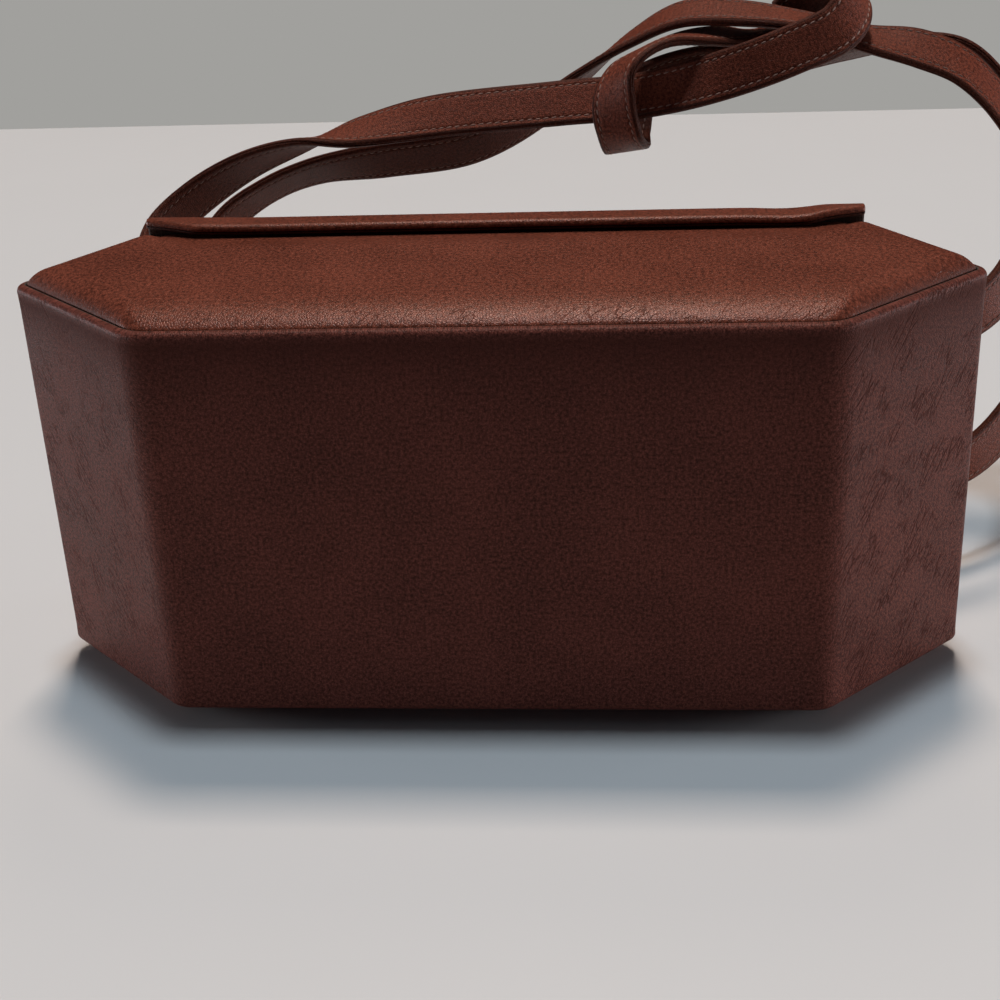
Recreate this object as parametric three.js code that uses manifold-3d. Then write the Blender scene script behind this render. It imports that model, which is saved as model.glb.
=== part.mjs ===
import * as THREE from 'three';
import { mergeVertices } from 'three/addons/utils/BufferGeometryUtils.js';
import ManifoldModule from 'manifold-3d';

// Case body, millimetres
const CASE_WIDTH = 242;
const BOTTOM_WIDTH = 165;
const RIM_WIDTH = 193;
const BOTTOM_Y = -36;
const RIM_Y = 34;
const BAND_HEIGHT = 103.5;
const CROWN = 4;
const WALL = 2.4;
const SEAM_GAP = 0.3;
const BOTTOM_FOLD_RADIUS = 8;
const SIDE_FOLD_RADIUS = 3.5;
const RIM_FOLD_RADIUS = 1;
const TIGHTEST_FOLD_RADIUS = 0.8;
const FOLD_STEPS = 5;
const BAND_EDGE_ROUND = 0.7;
const BOARD = 3.2;

// Lid
const LID_WIDTH = 189;
const LID_INNER_Y = 34.6;
const LID_OUTER_Y = 38;
const LID_FOOT_Z = 1.4;
const LIP_FRONT_Y = 28;
const LIP_CLIP_Y = 33.2;
const LIP_STRAIGHT_WIDTH = 160;
const LIP_UNDER_Z = 110.2;
const LIP_TOP_Z = 112.8;
const LID_BACK_ROUND = 3.3;
const LID_ROUND_STEPS = 6;
const HINGE_FRONT_Y = 31.5;
const HINGE_BACK_Y = 37.6;
const HINGE_UNDER_Z = 0.1;
const HINGE_THICKNESS = 1;

// Straps
const STRAP_WIDTH = 14;
const STRAP_THICKNESS = 2.6;
const STRAP_EDGE_ROUND = 0.6;
const STRAP_SEAT_GAP = 0.35;
const STEPS_PER_ROW = 5;
const HIGH_ANCHOR_Z = 74;
const LOW_ANCHOR_Z = 30;

// Points of a solid closer than this are one point
const SAME_POINT = 1e-3;

const BAND_FOOT = CROWN;
const BAND_TOP = CROWN + BAND_HEIGHT;

const LEATHER = '#5a2e26';
const LEATHER_DARK = '#3a1f1b';
const LEATHER_ROUGHNESS = 0.55;

// Padding of the panels: how far in from the panel's edge, and the rise above the band's edge
const PAD_ROLL = [
  { inset: 0.0, rise: -0.3 },
  { inset: 0.6, rise: 0.3 },
  { inset: 2.5, rise: 1.1 },
  { inset: 5.0, rise: 1.9 },
  { inset: 10.0, rise: 3.0 },
  { inset: 16.0, rise: 3.7 },
  { inset: 22.0, rise: 4.0 },
];

// Sewn end of a strap: how far along the upper side facet, and how far off its seat
const SEWN_END = [
  { along: 7, lift: 0 },
  { along: 16, lift: 0 },
  { along: 25, lift: 0.25 },
];
const PAST_RIM = { x: 102.5, y: 36.5 };

// Strap paths between the sewn ends: the middle of the strap, and where its outer face looks
const STRAP_ONE = [
  { x: -108, y: 60, z: 79, faceX: -0.98, faceY: -0.1, faceZ: 0.05 },
  { x: -112, y: 82, z: 83.5, faceX: -0.9, faceY: 0.35, faceZ: 0.15 },
  { x: -109, y: 96, z: 90, faceX: -0.66, faceY: 0.7, faceZ: 0.2 },
  { x: -98, y: 104, z: 98.5, faceX: -0.48, faceY: 0.78, faceZ: 0.36 },
  { x: -83, y: 106, z: 107, faceX: -0.3, faceY: 0.68, faceZ: 0.64 },
  { x: -66, y: 106, z: 113, faceX: -0.2, faceY: 0.42, faceZ: 0.88 },
  { x: -48, y: 105, z: 116.8, faceX: -0.2, faceY: -0.32, faceZ: 0.92 },
  { x: -24.1, y: 103, z: 121.5, faceX: -0.15, faceY: -0.72, faceZ: 0.68 },
  { x: 12.7, y: 101.3, z: 124.9, faceX: -0.1, faceY: -0.78, faceZ: 0.62 },
  { x: 39.7, y: 98.3, z: 127.7, faceX: -0.15, faceY: -0.8, faceZ: 0.58 },
  { x: 61.9, y: 95.5, z: 133.6, faceX: -0.2, faceY: -0.92, faceZ: 0.35 },
  { x: 80.5, y: 94.5, z: 140.3, faceX: -0.2, faceY: -0.93, faceZ: 0.3 },
  { x: 93.5, y: 97.5, z: 145.8, faceX: 0.1, faceY: -0.95, faceZ: 0.28 },
  { x: 98, y: 105, z: 152.3, faceX: 0.7, faceY: -0.6, faceZ: 0.4 },
  { x: 96, y: 115, z: 155.5, faceX: 0.75, faceY: 0.25, faceZ: 0.6 },
  { x: 88, y: 124.5, z: 149, faceX: 0.2, faceY: 0.9, faceZ: 0.4 },
  { x: 79, y: 127.5, z: 141, faceX: -0.1, faceY: 0.99, faceZ: 0.15 },
  { x: 68, y: 113.5, z: 140.7, faceX: -0.05, faceY: -0.08, faceZ: 0.99 },
  { x: 54, y: 106, z: 141.8, faceX: -0.1, faceY: -0.1, faceZ: 0.98 },
  { x: 41, y: 97, z: 141.3, faceX: -0.35, faceY: 0.15, faceZ: 0.92 },
  { x: 31.7, y: 91, z: 136.3, faceX: -0.75, faceY: -0.35, faceZ: 0.5 },
  { x: 29.5, y: 88.5, z: 127, faceX: -0.48, faceY: -0.87, faceZ: 0.08 },
  { x: 31, y: 89.3, z: 118.4, faceX: -0.35, faceY: -0.92, faceZ: -0.18 },
  { x: 33, y: 96.3, z: 112.7, faceX: 0.15, faceY: -0.15, faceZ: -0.97 },
  { x: 33, y: 104, z: 115.5, faceX: 0.1, faceY: 0.75, faceZ: -0.6 },
  { x: 36, y: 109.8, z: 125.5, faceX: -0.15, faceY: 0.95, faceZ: 0.2 },
  { x: 52, y: 114.5, z: 131, faceX: -0.3, faceY: 0.9, faceZ: 0.3 },
  { x: 76, y: 118.5, z: 131, faceX: -0.25, faceY: 0.7, faceZ: 0.65 },
  { x: 98, y: 122, z: 133, faceX: -0.1, faceY: 0.45, faceZ: 0.88 },
  { x: 116, y: 121, z: 136, faceX: 0.1, faceY: 0.4, faceZ: 0.9 },
  { x: 132, y: 118, z: 134.5, faceX: 0.4, faceY: 0.3, faceZ: 0.85 },
  { x: 146, y: 113, z: 121, faceX: 0.8, faceY: 0.15, faceZ: 0.55 },
  { x: 157, y: 106, z: 101, faceX: 0.95, faceY: 0, faceZ: 0.3 },
  { x: 162, y: 96, z: 80, faceX: 0.97, faceY: -0.2, faceZ: 0.1 },
  { x: 157, y: 83, z: 57, faceX: 0.85, faceY: -0.5, faceZ: 0.1 },
  { x: 145, y: 67, z: 40, faceX: 0.65, faceY: -0.75, faceZ: 0.1 },
  { x: 130, y: 53, z: 31.5, faceX: 0.45, faceY: -0.89, faceZ: 0 },
  { x: 113, y: 45, z: 30, faceX: 0.25, faceY: -0.97, faceZ: 0 },
];

const STRAP_TWO = [
  { x: -106, y: 60, z: 38, faceX: -0.98, faceY: 0, faceZ: 0.15 },
  { x: -109, y: 84, z: 54, faceX: -0.93, faceY: 0.1, faceZ: 0.3 },
  { x: -104, y: 104.4, z: 72.3, faceX: -0.88, faceY: 0.34, faceZ: 0.34 },
  { x: -92.5, y: 116.4, z: 87.2, faceX: -0.62, faceY: 0.6, faceZ: 0.5 },
  { x: -79, y: 118, z: 96, faceX: -0.38, faceY: 0.62, faceZ: 0.68 },
  { x: -64, y: 118, z: 101.5, faceX: -0.15, faceY: 0.7, faceZ: 0.7 },
  { x: -42, y: 116.5, z: 105, faceX: -0.1, faceY: 0.88, faceZ: 0.47 },
  { x: -15, y: 115, z: 109.2, faceX: -0.1, faceY: 0.88, faceZ: 0.47 },
  { x: 6.5, y: 118, z: 118.5, faceX: -0.25, faceY: 0.7, faceZ: 0.65 },
  { x: 20, y: 120, z: 129, faceX: -0.4, faceY: 0.35, faceZ: 0.85 },
  { x: 34, y: 118, z: 139.3, faceX: -0.5, faceY: 0, faceZ: 0.85 },
  { x: 49, y: 114, z: 147, faceX: -0.22, faceY: -0.25, faceZ: 0.94 },
  { x: 66, y: 110, z: 147.6, faceX: 0.05, faceY: -0.25, faceZ: 0.97 },
  { x: 84, y: 108.5, z: 145, faceX: 0.2, faceY: -0.15, faceZ: 0.97 },
  { x: 102, y: 107, z: 140, faceX: 0.2, faceY: -0.3, faceZ: 0.93 },
  { x: 117, y: 106, z: 137, faceX: 0.25, faceY: -0.6, faceZ: 0.76 },
  { x: 129, y: 104.5, z: 132, faceX: 0.45, faceY: -0.6, faceZ: 0.66 },
  { x: 139.5, y: 101, z: 122, faceX: 0.65, faceY: -0.5, faceZ: 0.57 },
  { x: 146.5, y: 94, z: 109, faceX: 0.83, faceY: -0.4, faceZ: 0.4 },
  { x: 147, y: 82, z: 97, faceX: 0.83, faceY: -0.5, faceZ: 0.25 },
  { x: 141.5, y: 67, z: 84.5, faceX: 0.7, faceY: -0.7, faceZ: 0.15 },
  { x: 129.5, y: 53.5, z: 76.5, faceX: 0.45, faceY: -0.89, faceZ: 0 },
  { x: 113, y: 45, z: 74, faceX: 0.25, faceY: -0.97, faceZ: 0 },
];

// Six corners of the case seen from the front, with the radius of the fold there
const CORNERS = [
  { x: RIM_WIDTH / 2, y: RIM_Y, fold: RIM_FOLD_RADIUS },
  { x: -RIM_WIDTH / 2, y: RIM_Y, fold: RIM_FOLD_RADIUS },
  { x: -CASE_WIDTH / 2, y: 0, fold: SIDE_FOLD_RADIUS },
  { x: -BOTTOM_WIDTH / 2, y: BOTTOM_Y, fold: BOTTOM_FOLD_RADIUS },
  { x: BOTTOM_WIDTH / 2, y: BOTTOM_Y, fold: BOTTOM_FOLD_RADIUS },
  { x: CASE_WIDTH / 2, y: 0, fold: SIDE_FOLD_RADIUS },
];

const manifoldTool = await ManifoldModule();
manifoldTool.setup();
const { Manifold, Mesh: ManifoldMesh } = manifoldTool;

// Corner points moved inwards from every side, and less on the side of the opening
function insetCorners(inset, rimRelief = 0) {
  const count = CORNERS.length;
  const lines = CORNERS.map((corner, i) => {
    const next = CORNERS[(i + 1) % count];
    const dx = next.x - corner.x;
    const dy = next.y - corner.y;
    const length = Math.hypot(dx, dy);
    const nx = -dy / length;
    const ny = dx / length;
    const move = i === 0 ? inset - rimRelief : inset;
    return { nx, ny, offset: nx * corner.x + ny * corner.y + move };
  });
  return CORNERS.map((corner, i) => {
    const a = lines[(i + count - 1) % count];
    const b = lines[i];
    const det = a.nx * b.ny - a.ny * b.nx;
    return {
      x: (a.offset * b.ny - b.offset * a.ny) / det,
      y: (b.offset * a.nx - a.offset * b.nx) / det,
      fold: Math.max(corner.fold - inset, TIGHTEST_FOLD_RADIUS),
    };
  });
}

// Points round one folded corner, in order
function foldPoints(before, corner, after, radius) {
  const p = new THREE.Vector2(corner.x, corner.y);
  const inward = new THREE.Vector2(before.x, before.y).sub(p).normalize();
  const outward = new THREE.Vector2(after.x, after.y).sub(p).normalize();
  const half = Math.acos(THREE.MathUtils.clamp(inward.dot(outward), -1, 1)) / 2;
  const reach = radius / Math.tan(half);
  const middle = inward.clone().add(outward).setLength(radius / Math.sin(half)).add(p);
  const start = inward.clone().multiplyScalar(reach).add(p).sub(middle);
  const end = outward.clone().multiplyScalar(reach).add(p).sub(middle);
  const from = Math.atan2(start.y, start.x);
  let turn = Math.atan2(end.y, end.x) - from;
  if (turn > Math.PI) turn -= 2 * Math.PI;
  if (turn < -Math.PI) turn += 2 * Math.PI;
  const points = [];
  for (let k = 0; k <= FOLD_STEPS; k += 1) {
    const angle = from + (turn * k) / FOLD_STEPS;
    points.push(new THREE.Vector2(radius * Math.cos(angle), radius * Math.sin(angle)).add(middle));
  }
  return points;
}

function caseOutline(inset, rimRelief) {
  const corners = insetCorners(inset, rimRelief);
  const count = corners.length;
  return corners.flatMap((corner, i) =>
    foldPoints(corners[(i + count - 1) % count], corner, corners[(i + 1) % count], corner.fold));
}

// Where the line through two corners meets the height of the opening
function endAtRim(a, b) {
  return new THREE.Vector2(b.x + ((a.x - b.x) * (RIM_Y - b.y)) / (a.y - b.y), RIM_Y);
}

// The band's path from one end of the opening, round the bottom, to the other end
function bandPath(inset) {
  const corners = insetCorners(inset);
  const [rightRim, leftRim, ...folds] = corners;
  const points = [endAtRim(leftRim, folds[0])];
  folds.forEach((corner, i) => {
    const before = folds[i - 1] ?? leftRim;
    const after = folds[i + 1] ?? rightRim;
    points.push(...foldPoints(before, corner, after, corner.fold));
  });
  points.push(endAtRim(rightRim, folds[folds.length - 1]));
  return points;
}

function bandRing(shrink) {
  const outer = bandPath(shrink);
  const inner = bandPath(WALL - shrink);
  return outer.concat(inner.reverse());
}

// Closed solid from rings of equal length, capped at both ends
function loftRings(rings, capTriangles) {
  const count = rings[0].length;
  const positions = rings.flat().flatMap((p) => [p.x, p.y, p.z]);
  const index = [];
  for (let r = 0; r + 1 < rings.length; r += 1) {
    for (let k = 0; k < count; k += 1) {
      const next = (k + 1) % count;
      const a = r * count + k;
      const b = r * count + next;
      index.push(a, b, a + count, b, b + count, a + count);
    }
  }
  const last = (rings.length - 1) * count;
  for (const [a, b, c] of capTriangles) {
    index.push(a, c, b);
    index.push(last + a, last + b, last + c);
  }
  const geometry = new THREE.BufferGeometry();
  geometry.setAttribute('position', new THREE.Float32BufferAttribute(positions, 3));
  geometry.setIndex(index);
  return geometry;
}

function ringsFromOutlines(levels) {
  const rings = levels.map(({ outline, z }) => outline.map((p) => new THREE.Vector3(p.x, p.y, z)));
  const flat = levels[0].outline;
  return loftRings(rings, THREE.ShapeUtils.triangulateShape(flat, []));
}

// Solids with their faces looking outwards whichever way their rings run
function facingOut(geometry) {
  const position = geometry.getAttribute('position');
  const index = geometry.getIndex().array;
  const a = new THREE.Vector3();
  const b = new THREE.Vector3();
  const c = new THREE.Vector3();
  let volume = 0;
  for (let i = 0; i < index.length; i += 3) {
    a.fromBufferAttribute(position, index[i]);
    b.fromBufferAttribute(position, index[i + 1]);
    c.fromBufferAttribute(position, index[i + 2]);
    volume += a.dot(b.cross(c));
  }
  if (volume < 0) {
    for (let i = 0; i < index.length; i += 3) {
      const keep = index[i];
      index[i] = index[i + 1];
      index[i + 1] = keep;
    }
  }
  geometry.computeVertexNormals();
  return geometry;
}

function sideBand() {
  return ringsFromOutlines([
    { outline: bandRing(BAND_EDGE_ROUND), z: 0 },
    { outline: bandRing(0), z: BAND_EDGE_ROUND },
    { outline: bandRing(0), z: BAND_HEIGHT - BAND_EDGE_ROUND },
    { outline: bandRing(BAND_EDGE_ROUND), z: BAND_HEIGHT },
  ]);
}

// Padded board lying on the band's edge plane, its padding upwards
function paddedPanel() {
  const margin = WALL + SEAM_GAP;
  const levels = [{ outline: caseOutline(margin, WALL), z: -BOARD }];
  for (const row of PAD_ROLL) {
    levels.push({ outline: caseOutline(margin + row.inset, WALL), z: row.rise });
  }
  return ringsFromOutlines(levels);
}

function toManifold(geometry) {
  geometry.deleteAttribute('normal');
  geometry.deleteAttribute('uv');
  const merged = mergeVertices(geometry, SAME_POINT);
  const mesh = new ManifoldMesh({
    numProp: 3,
    vertProperties: new Float32Array(merged.getAttribute('position').array),
    triVerts: new Uint32Array(merged.getIndex().array),
  });
  return new Manifold(mesh);
}

function fromManifold(solid) {
  const mesh = solid.getMesh();
  const geometry = new THREE.BufferGeometry();
  geometry.setAttribute('position', new THREE.BufferAttribute(mesh.vertProperties, 3));
  geometry.setIndex(new THREE.BufferAttribute(mesh.triVerts, 1));
  return geometry;
}

// Corner cut off one end of the lip, as a prism through the lip's whole height
function lipClip(side) {
  const half = side * LID_WIDTH / 2;
  const straight = side * LIP_STRAIGHT_WIDTH / 2;
  const clipRun = half - straight;
  const clipRise = LIP_CLIP_Y - LIP_FRONT_Y;
  const front = LIP_FRONT_Y - LID_OUTER_Y;
  const corner = new THREE.Shape();
  corner.moveTo(straight - clipRun, front - clipRise);
  corner.lineTo(half + clipRun, front - clipRise);
  corner.lineTo(half + clipRun, front + 2 * clipRise);
  const prism = new THREE.ExtrudeGeometry(corner, { depth: LIP_TOP_Z, bevelEnabled: false });
  return toManifold(prism);
}

// Lid board and its front lip, measured from the hinge line at the foot of the outer face
function lidShape() {
  const top = LIP_TOP_Z - LID_FOOT_Z;
  const inner = LID_INNER_Y - LID_OUTER_Y;
  const front = LIP_FRONT_Y - LID_OUTER_Y;
  const under = LIP_UNDER_Z - LID_FOOT_Z;
  const profile = new THREE.Shape();
  profile.moveTo(0, 0);
  profile.lineTo(0, top - LID_BACK_ROUND);
  profile.absarc(-LID_BACK_ROUND, top - LID_BACK_ROUND, LID_BACK_ROUND, 0, Math.PI / 2);
  profile.lineTo(front, top);
  profile.lineTo(front, under);
  profile.lineTo(inner, under);
  profile.lineTo(inner, 0);
  const settings = { depth: LID_WIDTH, bevelEnabled: false, curveSegments: LID_ROUND_STEPS };
  const board = new THREE.ExtrudeGeometry(profile, settings);
  board.rotateX(Math.PI / 2);
  board.rotateZ(Math.PI / 2);
  board.translate(-LID_WIDTH / 2, 0, 0);
  return fromManifold(toManifold(board).subtract(lipClip(-1)).subtract(lipClip(1)));
}

function hingeStrip() {
  return new THREE.BoxGeometry(LID_WIDTH, HINGE_BACK_Y - HINGE_FRONT_Y, HINGE_THICKNESS);
}

// Rows of one strap end lying on the upper side facet, from the end to past the rim
function sewnEnd(side, z) {
  const runX = RIM_WIDTH / 2 - CASE_WIDTH / 2;
  const facet = Math.hypot(runX, RIM_Y);
  const alongX = runX / facet;
  const alongY = RIM_Y / facet;
  const seat = STRAP_SEAT_GAP + STRAP_THICKNESS / 2;
  const rows = SEWN_END.map(({ along, lift }) => ({
    x: side * (CASE_WIDTH / 2 + alongX * along + alongY * (seat + lift)),
    y: alongY * along - alongX * (seat + lift),
    z,
    faceX: side * alongY,
    faceY: -alongX,
    faceZ: 0,
  }));
  rows.push({ x: side * PAST_RIM.x, y: PAST_RIM.y, z, faceX: side, faceY: 0, faceZ: 0 });
  return rows;
}

function strapRows(leftZ, free, rightZ) {
  return [...sewnEnd(-1, leftZ), ...free, ...sewnEnd(1, rightZ).reverse()];
}

// Flat strap swept along its rows, its outer face kept square to the path
function strapShape(rows) {
  const middles = rows.map((r) => new THREE.Vector3(r.x, r.y, r.z));
  const faces = rows.map((r) => new THREE.Vector3(r.faceX, r.faceY, r.faceZ));
  const path = new THREE.CatmullRomCurve3(middles, false, 'centripetal');
  const look = new THREE.CatmullRomCurve3(faces, false, 'catmullrom');
  const across = STRAP_WIDTH / 2;
  const through = STRAP_THICKNESS / 2;
  const cut = STRAP_EDGE_ROUND;
  const section = [
    [-across, -through + cut],
    [-across + cut, -through],
    [across - cut, -through],
    [across, -through + cut],
    [across, through - cut],
    [across - cut, through],
    [-across + cut, through],
    [-across, through - cut],
  ];
  const steps = (rows.length - 1) * STEPS_PER_ROW;
  const rings = [];
  for (let i = 0; i <= steps; i += 1) {
    const t = i / steps;
    const middle = path.getPoint(t);
    const along = path.getTangent(t);
    const face = look.getPoint(t);
    face.addScaledVector(along, -face.dot(along)).normalize();
    const side = new THREE.Vector3().crossVectors(face, along);
    rings.push(section.map(([u, v]) => middle.clone().addScaledVector(side, u).addScaledVector(face, v)));
  }
  const flat = section.map(([u, v]) => new THREE.Vector2(u, v));
  return loftRings(rings, THREE.ShapeUtils.triangulateShape(flat, []));
}

function piece(name, geometry, colour) {
  const material = new THREE.MeshStandardMaterial({ color: colour, roughness: LEATHER_ROUGHNESS });
  const mesh = new THREE.Mesh(geometry, material);
  mesh.name = name;
  return mesh;
}

const vanityCase = new THREE.Group();
vanityCase.name = 'vanity_case';

const shell = new THREE.Group();
const band = piece('side_band', facingOut(sideBand()), LEATHER_DARK);
band.position.z = BAND_FOOT;
const frontPanel = piece('front_panel', facingOut(paddedPanel()), LEATHER);
frontPanel.position.z = BAND_TOP;
const backPanel = piece('back_panel', facingOut(paddedPanel()), LEATHER);
backPanel.rotation.y = Math.PI;
backPanel.position.z = BAND_FOOT;
shell.add(band, frontPanel, backPanel);

const lid = piece('lid', lidShape(), LEATHER);
lid.position.set(0, LID_OUTER_Y, LID_FOOT_Z);
const hinge = piece('lid_hinge', hingeStrip(), LEATHER_DARK);
hinge.position.set(0, (HINGE_FRONT_Y + HINGE_BACK_Y) / 2, HINGE_UNDER_Z + HINGE_THICKNESS / 2);

const straps = new THREE.Group();
const strapOneRows = strapRows(HIGH_ANCHOR_Z, STRAP_ONE, LOW_ANCHOR_Z);
const strapTwoRows = strapRows(LOW_ANCHOR_Z, STRAP_TWO, HIGH_ANCHOR_Z);
straps.add(piece('strap_one', facingOut(strapShape(strapOneRows)), LEATHER));
straps.add(piece('strap_two', facingOut(strapShape(strapTwoRows)), LEATHER));

vanityCase.add(shell, lid, hinge, straps);

export default vanityCase;
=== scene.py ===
"""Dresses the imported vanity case: leather band, padded panels, lid, hinge strip, straps and stitches."""
import math

import bmesh
import bpy
import numpy as np
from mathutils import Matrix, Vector


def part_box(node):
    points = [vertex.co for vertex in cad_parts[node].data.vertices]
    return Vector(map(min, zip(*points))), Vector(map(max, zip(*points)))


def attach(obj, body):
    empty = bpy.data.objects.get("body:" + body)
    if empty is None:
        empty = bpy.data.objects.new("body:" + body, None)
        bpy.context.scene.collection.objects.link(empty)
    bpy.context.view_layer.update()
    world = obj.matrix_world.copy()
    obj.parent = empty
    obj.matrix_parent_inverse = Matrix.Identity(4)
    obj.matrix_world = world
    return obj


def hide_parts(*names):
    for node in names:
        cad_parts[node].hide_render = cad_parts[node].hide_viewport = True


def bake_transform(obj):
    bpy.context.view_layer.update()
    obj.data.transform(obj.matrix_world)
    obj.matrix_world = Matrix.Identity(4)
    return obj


bl_info = {
    "name": "Vanity case dressing",
    "version": (1, 0, 0),
    "blender": (4, 5, 0),
    "location": "View3D > Sidebar > Vanity case",
    "description": "Builds the leather pieces of a six-sided vanity case over its packed solids",
    "category": "Object",
}

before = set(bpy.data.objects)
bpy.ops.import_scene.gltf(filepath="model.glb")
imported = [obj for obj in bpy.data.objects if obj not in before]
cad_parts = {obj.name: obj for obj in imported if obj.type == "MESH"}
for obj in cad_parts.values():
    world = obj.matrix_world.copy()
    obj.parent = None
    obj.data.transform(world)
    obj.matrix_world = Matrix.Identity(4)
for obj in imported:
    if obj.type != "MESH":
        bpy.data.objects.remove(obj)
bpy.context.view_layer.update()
MM = 0.001

# Case body in millimetres, as the solids have it
BAND_LOW, BAND_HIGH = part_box("side_band")
BAND_FOOT = BAND_LOW.z / MM
BAND_TOP = BAND_HIGH.z / MM
BAND_HEIGHT = BAND_TOP - BAND_FOOT
CASE_WIDTH = 242.0
BOTTOM_WIDTH = 165.0
RIM_WIDTH = 193.0
BOTTOM_Y = -36.0
RIM_Y = 34.0
WALL = 2.4
SEAM_GAP = 0.3
BOARD = 3.2
TIGHTEST_FOLD = 0.8
CORNERS = [
    (RIM_WIDTH / 2, RIM_Y),
    (-RIM_WIDTH / 2, RIM_Y),
    (-CASE_WIDTH / 2, 0.0),
    (-BOTTOM_WIDTH / 2, BOTTOM_Y),
    (BOTTOM_WIDTH / 2, BOTTOM_Y),
    (CASE_WIDTH / 2, 0.0),
]
# Fold radius of each corner at the band's foot, and how much wider the fold is at its top
FOLDS = [1.0, 1.0, 3.5, 8.0, 8.0, 3.5]
FOLD_GROWTH = [0.0, 0.0, 0.5, 5.0, 5.0, 0.5]
FOLD_STEPS = 10
SIDE_STEP = 3.0
END_STEPS = 5
EDGE_STEPS = 8
WALL_STEPS = 8
EDGE_INNER_ROUND = 0.4
# Below its rounded edge the cover sinks a little: distance below, and how deep
EDGE_DIP = [(1.5, 0.06), (3.0, 0.12), (5.0, 0.14)]
# Painted shade: the cover is painted darker near the upper edge, over about this distance, but not on the
# bare edge itself
EDGE_SHADE_REACH = 9.0
EDGE_SHADE = 1.5
EDGE_BARE_FROM = 0.8
EDGE_BARE_TO = 2.6

# Meshes: nearer points become one, shorter edges are dropped, and steeper folds are shaded sharp
MERGE_DISTANCE = 0.002
SLIVER = 0.001
SHARP_DEG = 50
STRAP_SHARP_DEG = 70

# Padding: its slope at the seam, how far in the slope dies away, and how sharply
PAD_SEAM_SLOPE = 0.7
PAD_SOFTNESS = 6.1
PAD_FALL = 1.3
SEAM_CREVICE = 0.25
CREVICE_WIDTH = 0.35
PAD_SAMPLES = 101
PAD_DEPTHS = [
    0.0, 0.15, 0.35, 0.6, 0.9, 1.3, 1.8, 2.4, 3.2, 4.2,
    5.2, 6.2, 7.4, 8.8, 10.4, 12.4, 15.0, 18.0, 22.0, 26.0]
# Creases fade out on the roll between these depths
CREASE_DEPTH_FROM = 1.5
CREASE_DEPTH_TO = 11.0
# How wide the roll is along each side, from the opening round, as a share of its width along the front
ROLL_SHARES = [0.07, 0.38, 0.52, 1.0, 0.52, 0.38]
# Near the opening the pad lies lower under the lid's lip, whose clipped ends leave more of it free
RIM_SETTLE = 2.0
RIM_SETTLE_FROM = 13.0
RIM_SETTLE_TO = 28.0
RIM_FREE_FROM = 1.03
RIM_FREE_TO = 0.36
SETTLE_RISE_FROM = 0.2
SETTLE_RISE_TO = 3.0
# Extra cuts across the face, so that it can bend there
RIM_CUT_STEP = 1.5
RIM_CUT_END = 34.5
END_CUT_FROM = 62.0
END_CUT_TO = 97.0
END_CUT_STEP = 2.5
CUT_TOLERANCE = 1e-7
# Along the side facets the panels' cover is painted darker next to the seam, as painted shade, and is duller
# there
SIDE_SHADE_FROM = 80.0
SIDE_SHADE_TO = 90.0
SIDE_SHADE_REACH = 3.2

# Lid
LID_WIDTH = 189.0
LID_INNER_Y = 34.6
LID_OUTER_Y = 38.0
LID_FOOT_Z = 1.4
LIP_FRONT_Y = 28.0
LIP_CLIP_Y = 33.2
LIP_STRAIGHT_WIDTH = 160.0
LIP_UNDER_Z = 110.2
LIP_TOP_Z = 112.8
LID_BACK_ROUND = 3.3
LIP_GROOVE = 0.22
LIP_TOP_CORNER = 1.5
LIP_UNDER_CORNER = 0.5
LIP_INNER_ROUND = 0.6
LIP_INNER_CUT = 0.18
LID_END_ROUND = 0.7
LID_END_STEPS = 4
END_SHRINK_LIMIT = 0.9
# The lip's seam: its place as a share of the lip's height, then height from there and share of its depth
LIP_SEAM_SHARE = 0.3
LIP_SEAM_SHAPE = [(0.2, 0.0), (0.08, 0.6), (0.0, 1.0), (-0.08, 0.6), (-0.2, 0.0)]
# Steps along each stretch of the lid's side outline, and places along its width
LID_ROUND_STEPS = 8
LID_BACK_STEPS = 15
LIP_TOP_STEPS = 5
LIP_HEEL_STEPS = 5
LIP_UNDER_STEPS = 4
LID_INSIDE_STEPS = 13
LID_FLAT_PLACES = 60
LID_CLIP_PLACES = 10
# The top isn't quite straight: how high it rises and between which places, and a sag with its place and width
LEFT_RISE, LEFT_RISE_FROM, LEFT_RISE_TO = 0.5, 62, 94
RIGHT_RISE, RIGHT_RISE_FROM, RIGHT_RISE_TO = 0.55, 77, 86
TOP_SAG, TOP_SAG_PLACE, TOP_SAG_WIDTH = 0.35, 73, 6
TOP_WAVE_REACH = 16
LIP_LIFT_REACH = 1

# Hinge strip
HINGE_ROUND_STEPS = 6
HINGE_FACE_STEPS = 11
HINGE_PLACES = 48

# Straps
STRAP_WIDTH = 14.0
STRAP_THICKNESS = 2.6
STRAP_SEAT_GAP = 0.35
STRAP_STEP = 1.5
SAMPLES_PER_ROW = 40
SMALL_SHARE = 1e-4
CENTRIPETAL = 0.5
EVEN = 0
HIGH_ANCHOR_Z = 74.0
LOW_ANCHOR_Z = 30.0
SEWN_END = [(7.0, 0.0), (16.0, 0.0), (25.0, 0.25)]
PAST_RIM = (102.5, 36.5)
STITCH_ACROSS = 4.85
CHANNEL_DEPTH = 0.2
CHANNEL_WIDTH = 0.32
THREAD_RISE = 0.06
STITCH_SLANT = 8.0
STITCH_MARGIN = 2.5
THREAD_SEGMENTS = 6
THREAD_RINGS = 5
# How pale the thread is on the outer and inner face of each strap
STRAP_ONE_TONES = (1.0, 0.6)
STRAP_TWO_TONES = (0.25, 0.8)
# Places across a face, and the face's thinned border
FACE_PLACES = [5.9, 5.5, 5.2, 5.0, STITCH_ACROSS, 4.7, 4.5, 4.2, 3.4, 2.2, 1.0]
BORDER_SINK = 0.06
BORDER_FROM = 5.2
BORDER_TO = 5.9
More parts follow.
